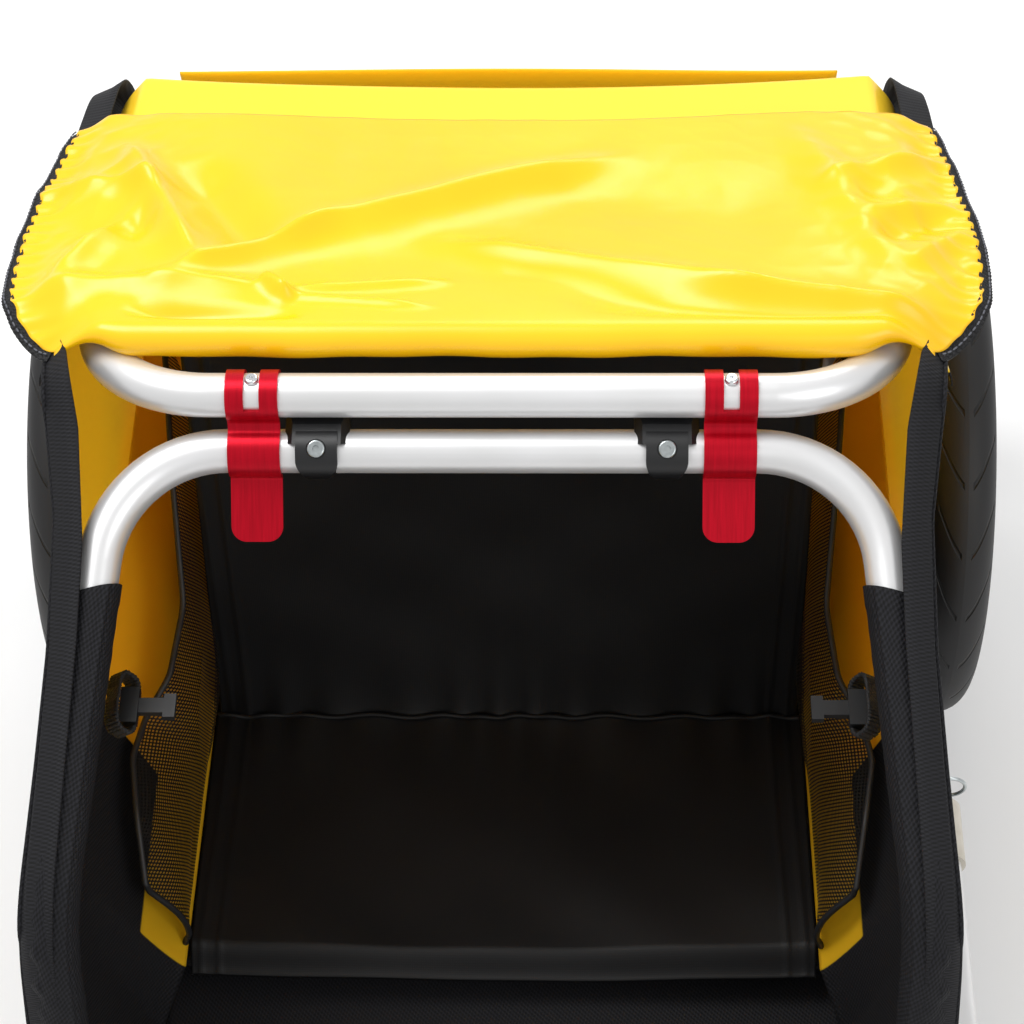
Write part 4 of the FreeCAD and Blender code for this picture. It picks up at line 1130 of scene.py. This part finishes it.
def pocket_grid():
    """Rows run up the pocket and columns from rear to front. The mouth hangs in a slack curve."""
    rows, cols = 90, 150
    mouth = rounded([(228, 215, 505), (220, 124, 447), (214, 66, 393), (220, 17, 382), (234, -10, 374),
                     (239, -44, 378), (232, -86, 376), (226, -122, 352)], 30, cols)
    y_low = np.linspace(215, -124, cols)
    low_x, low_z = seat_edge(y_low)
    low = np.stack([low_x + 1, y_low, low_z + 4], -1)
    t = np.linspace(0, 1, rows)[:, None, None]
    grid = (1 - t) * low[None] + t * mouth[None]
    s = np.linspace(0, 1, cols)[None]
    t = t[..., 0]
    belly = 13 * np.sin(math.pi * t) * (0.55 + 0.45 * np.sin(math.pi * s))
    slack = 5.0 * ruffle(s * 7, t * 3.4, 101, 7, 0.6, 1.8) + 2.2 * ruffle(s * 20, t * 9, 102, 6, 0.6, 1.6)
    grid[..., 0] += slack * smooth(t * 6) * smooth((1 - t) * 8) - belly
    grid[..., 0] = np.maximum(grid[..., 0], 197 + 8 * smooth((90 - grid[..., 1]) / 40))
    uv = np.stack([grid[..., 1], grid[..., 2]], -1)
    return grid, uv


def build_pocket(name, side):
    grid, uv = pocket_grid()
    if side < 0:
        uv = uv[:, ::-1]
    piece = surface(f"net_pocket_{name}", mirrored(grid, side), uv, [net])
    flatten_with_fold(piece)
    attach(piece, "floor_frame")
    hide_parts(f"mesh_pocket_{name}")
    return piece


def build_pocket_piping(name, side):
    """One piping along the pocket's mouth and down its front edge."""
    grid, _ = pocket_grid()
    line = resampled(np.concatenate([grid[-1], grid[::-1, -1]]), 320)
    line[:, 0] *= side
    piece = tube(f"pocket_piping_{name}", line, 2.1, (0.3, 0, 1), piping_grey, around=10)
    flatten_with_fold(piece)
    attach(piece, "floor_frame")
    return piece


pockets = both_sides(build_pocket)
pocket_pipings = both_sides(build_pocket_piping)

# %% [markdown]
# Each hook lies in a ribbed webbing loop: a flat ring, longer than it is wide, hung from the sleeve.

# %% Hook loops

LOOP_LENGTH, LOOP_HEIGHT = 38, 17
LOOP_WIDTH = 10.0
LOOP_TILT = (0.55, 0.83)
RIB_PITCH = 2.2


def build_hook_loop(name, side):
    """Squarish rings of points: along is down the sleeve, across is up and outwards at the loop's tilt."""
    low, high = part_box("hook_loops")
    middle_y = (low.y + high.y) / 2 / MM - BAR_Y / MM
    middle_z = (low.z + high.z) / 2 / MM
    outer_x = high.x / MM - 2
    turn = np.linspace(0, 2 * math.pi, 161)[:-1]
    along = np.sign(np.cos(turn)) * np.abs(np.cos(turn)) ** 0.6
    across = np.sign(np.sin(turn)) * np.abs(np.sin(turn)) ** 0.6
    tilt_x, tilt_z = LOOP_TILT
    x = outer_x - 4 + tilt_x * across * LOOP_HEIGHT / 2
    z = middle_z + tilt_z * across * LOOP_HEIGHT / 2 + 3
    line = np.stack([x, middle_y + along * LOOP_LENGTH / 2, z], -1)
    outwards = np.stack([tilt_x * across, along, tilt_z * across], -1)
    flat = np.array([-tilt_z, 0, tilt_x])
    width = np.linspace(-LOOP_WIDTH / 2, LOOP_WIDTH / 2, 6)
    ribs = 0.5 * np.sin(2 * math.pi * lengths(line) / RIB_PITCH)
    grid = line[None] + width[:, None, None] * flat[None, None] + (ribs[:, None] * outwards)[None]
    uv = np.stack(np.broadcast_arrays(lengths(line)[None], width[:, None]), -1)
    if side < 0:
        uv = uv[:, ::-1]
    piece = surface(f"hook_loop_{name}", mirrored(grid, side), uv, [webbing], ring=True, thickness=1.4)
    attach(piece, "front_hoop")
    return piece


hook_loops = both_sides(build_hook_loop)
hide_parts("hook_loops")

# %% [markdown]
# ## Ground, light and camera
# A pale ground, three soft square lamps and an even white sky. The camera looks down at the opening from
# the front.

# %% Studio

GROUND_HALF = 6.0
LOOKED_AT = (0, 0.2, 0.5)
SKY_STRENGTH = 0.72


def build_ground():
    mesh = bpy.data.meshes.new("ground")
    corners = [(GROUND_HALF * x, GROUND_HALF * y, 0) for x, y in ((-1, -1), (1, -1), (1, 1), (-1, 1))]
    mesh.from_pydata(corners, [], [(0, 1, 2, 3)])
    mesh.materials.append(new_material("pale_floor", "#F4F4F4", 0.9))
    piece = bpy.data.objects.new("ground", mesh)
    bpy.context.scene.collection.objects.link(piece)


build_ground()


def add_light(name, location, size, watts):
    data = bpy.data.lights.new(name, "AREA")
    data.shape = "SQUARE"
    data.size = size
    data.energy = watts
    lamp = bpy.data.objects.new(name, data)
    lamp.location = location
    lamp.rotation_euler = (Vector(LOOKED_AT) - Vector(location)).to_track_quat("-Z", "Y").to_euler()
    bpy.context.scene.collection.objects.link(lamp)


add_light("key", (-1.0, 0.6, 2.9), 1.3, 46)
add_light("fill", (1.6, -1.6, 2.4), 1.4, 20)
add_light("back", (0.5, 2.6, 2.2), 1.4, 22)

world = bpy.data.worlds.new("studio")
world.use_nodes = True
sky = world.node_tree.nodes["Background"]
sky.inputs["Color"].default_value = (1, 1, 1, 1)
sky.inputs["Strength"].default_value = SKY_STRENGTH
bpy.context.scene.world = world
bpy.context.scene.view_settings.view_transform = "Standard"

CAMERA_AT = (49.475, -933.04, 1824.189)
YAW, PITCH, ROLL = -0.042, 0.925, -0.032
LENS = 92.1


def add_camera():
    """The camera looks down along forward; right and up are turned by its roll."""
    forward = Vector((math.sin(YAW) * math.cos(PITCH), math.cos(YAW) * math.cos(PITCH), -math.sin(PITCH)))
    level_right = Vector((math.cos(YAW), -math.sin(YAW), 0))
    level_up = level_right.cross(forward)
    right = math.cos(ROLL) * level_right + math.sin(ROLL) * level_up
    up = -math.sin(ROLL) * level_right + math.cos(ROLL) * level_up
    data = bpy.data.cameras.new("view")
    data.lens = LENS
    data.sensor_width = 36.0
    data.clip_start = 0.05
    data.clip_end = 50.0
    camera = bpy.data.objects.new("view", data)
    turn = Matrix((right, up, -forward)).transposed()
    camera.matrix_world = Matrix.Translation(Vector(place(CAMERA_AT))) @ turn.to_4x4()
    bpy.context.scene.collection.objects.link(camera)
    bpy.context.scene.camera = camera


add_camera()
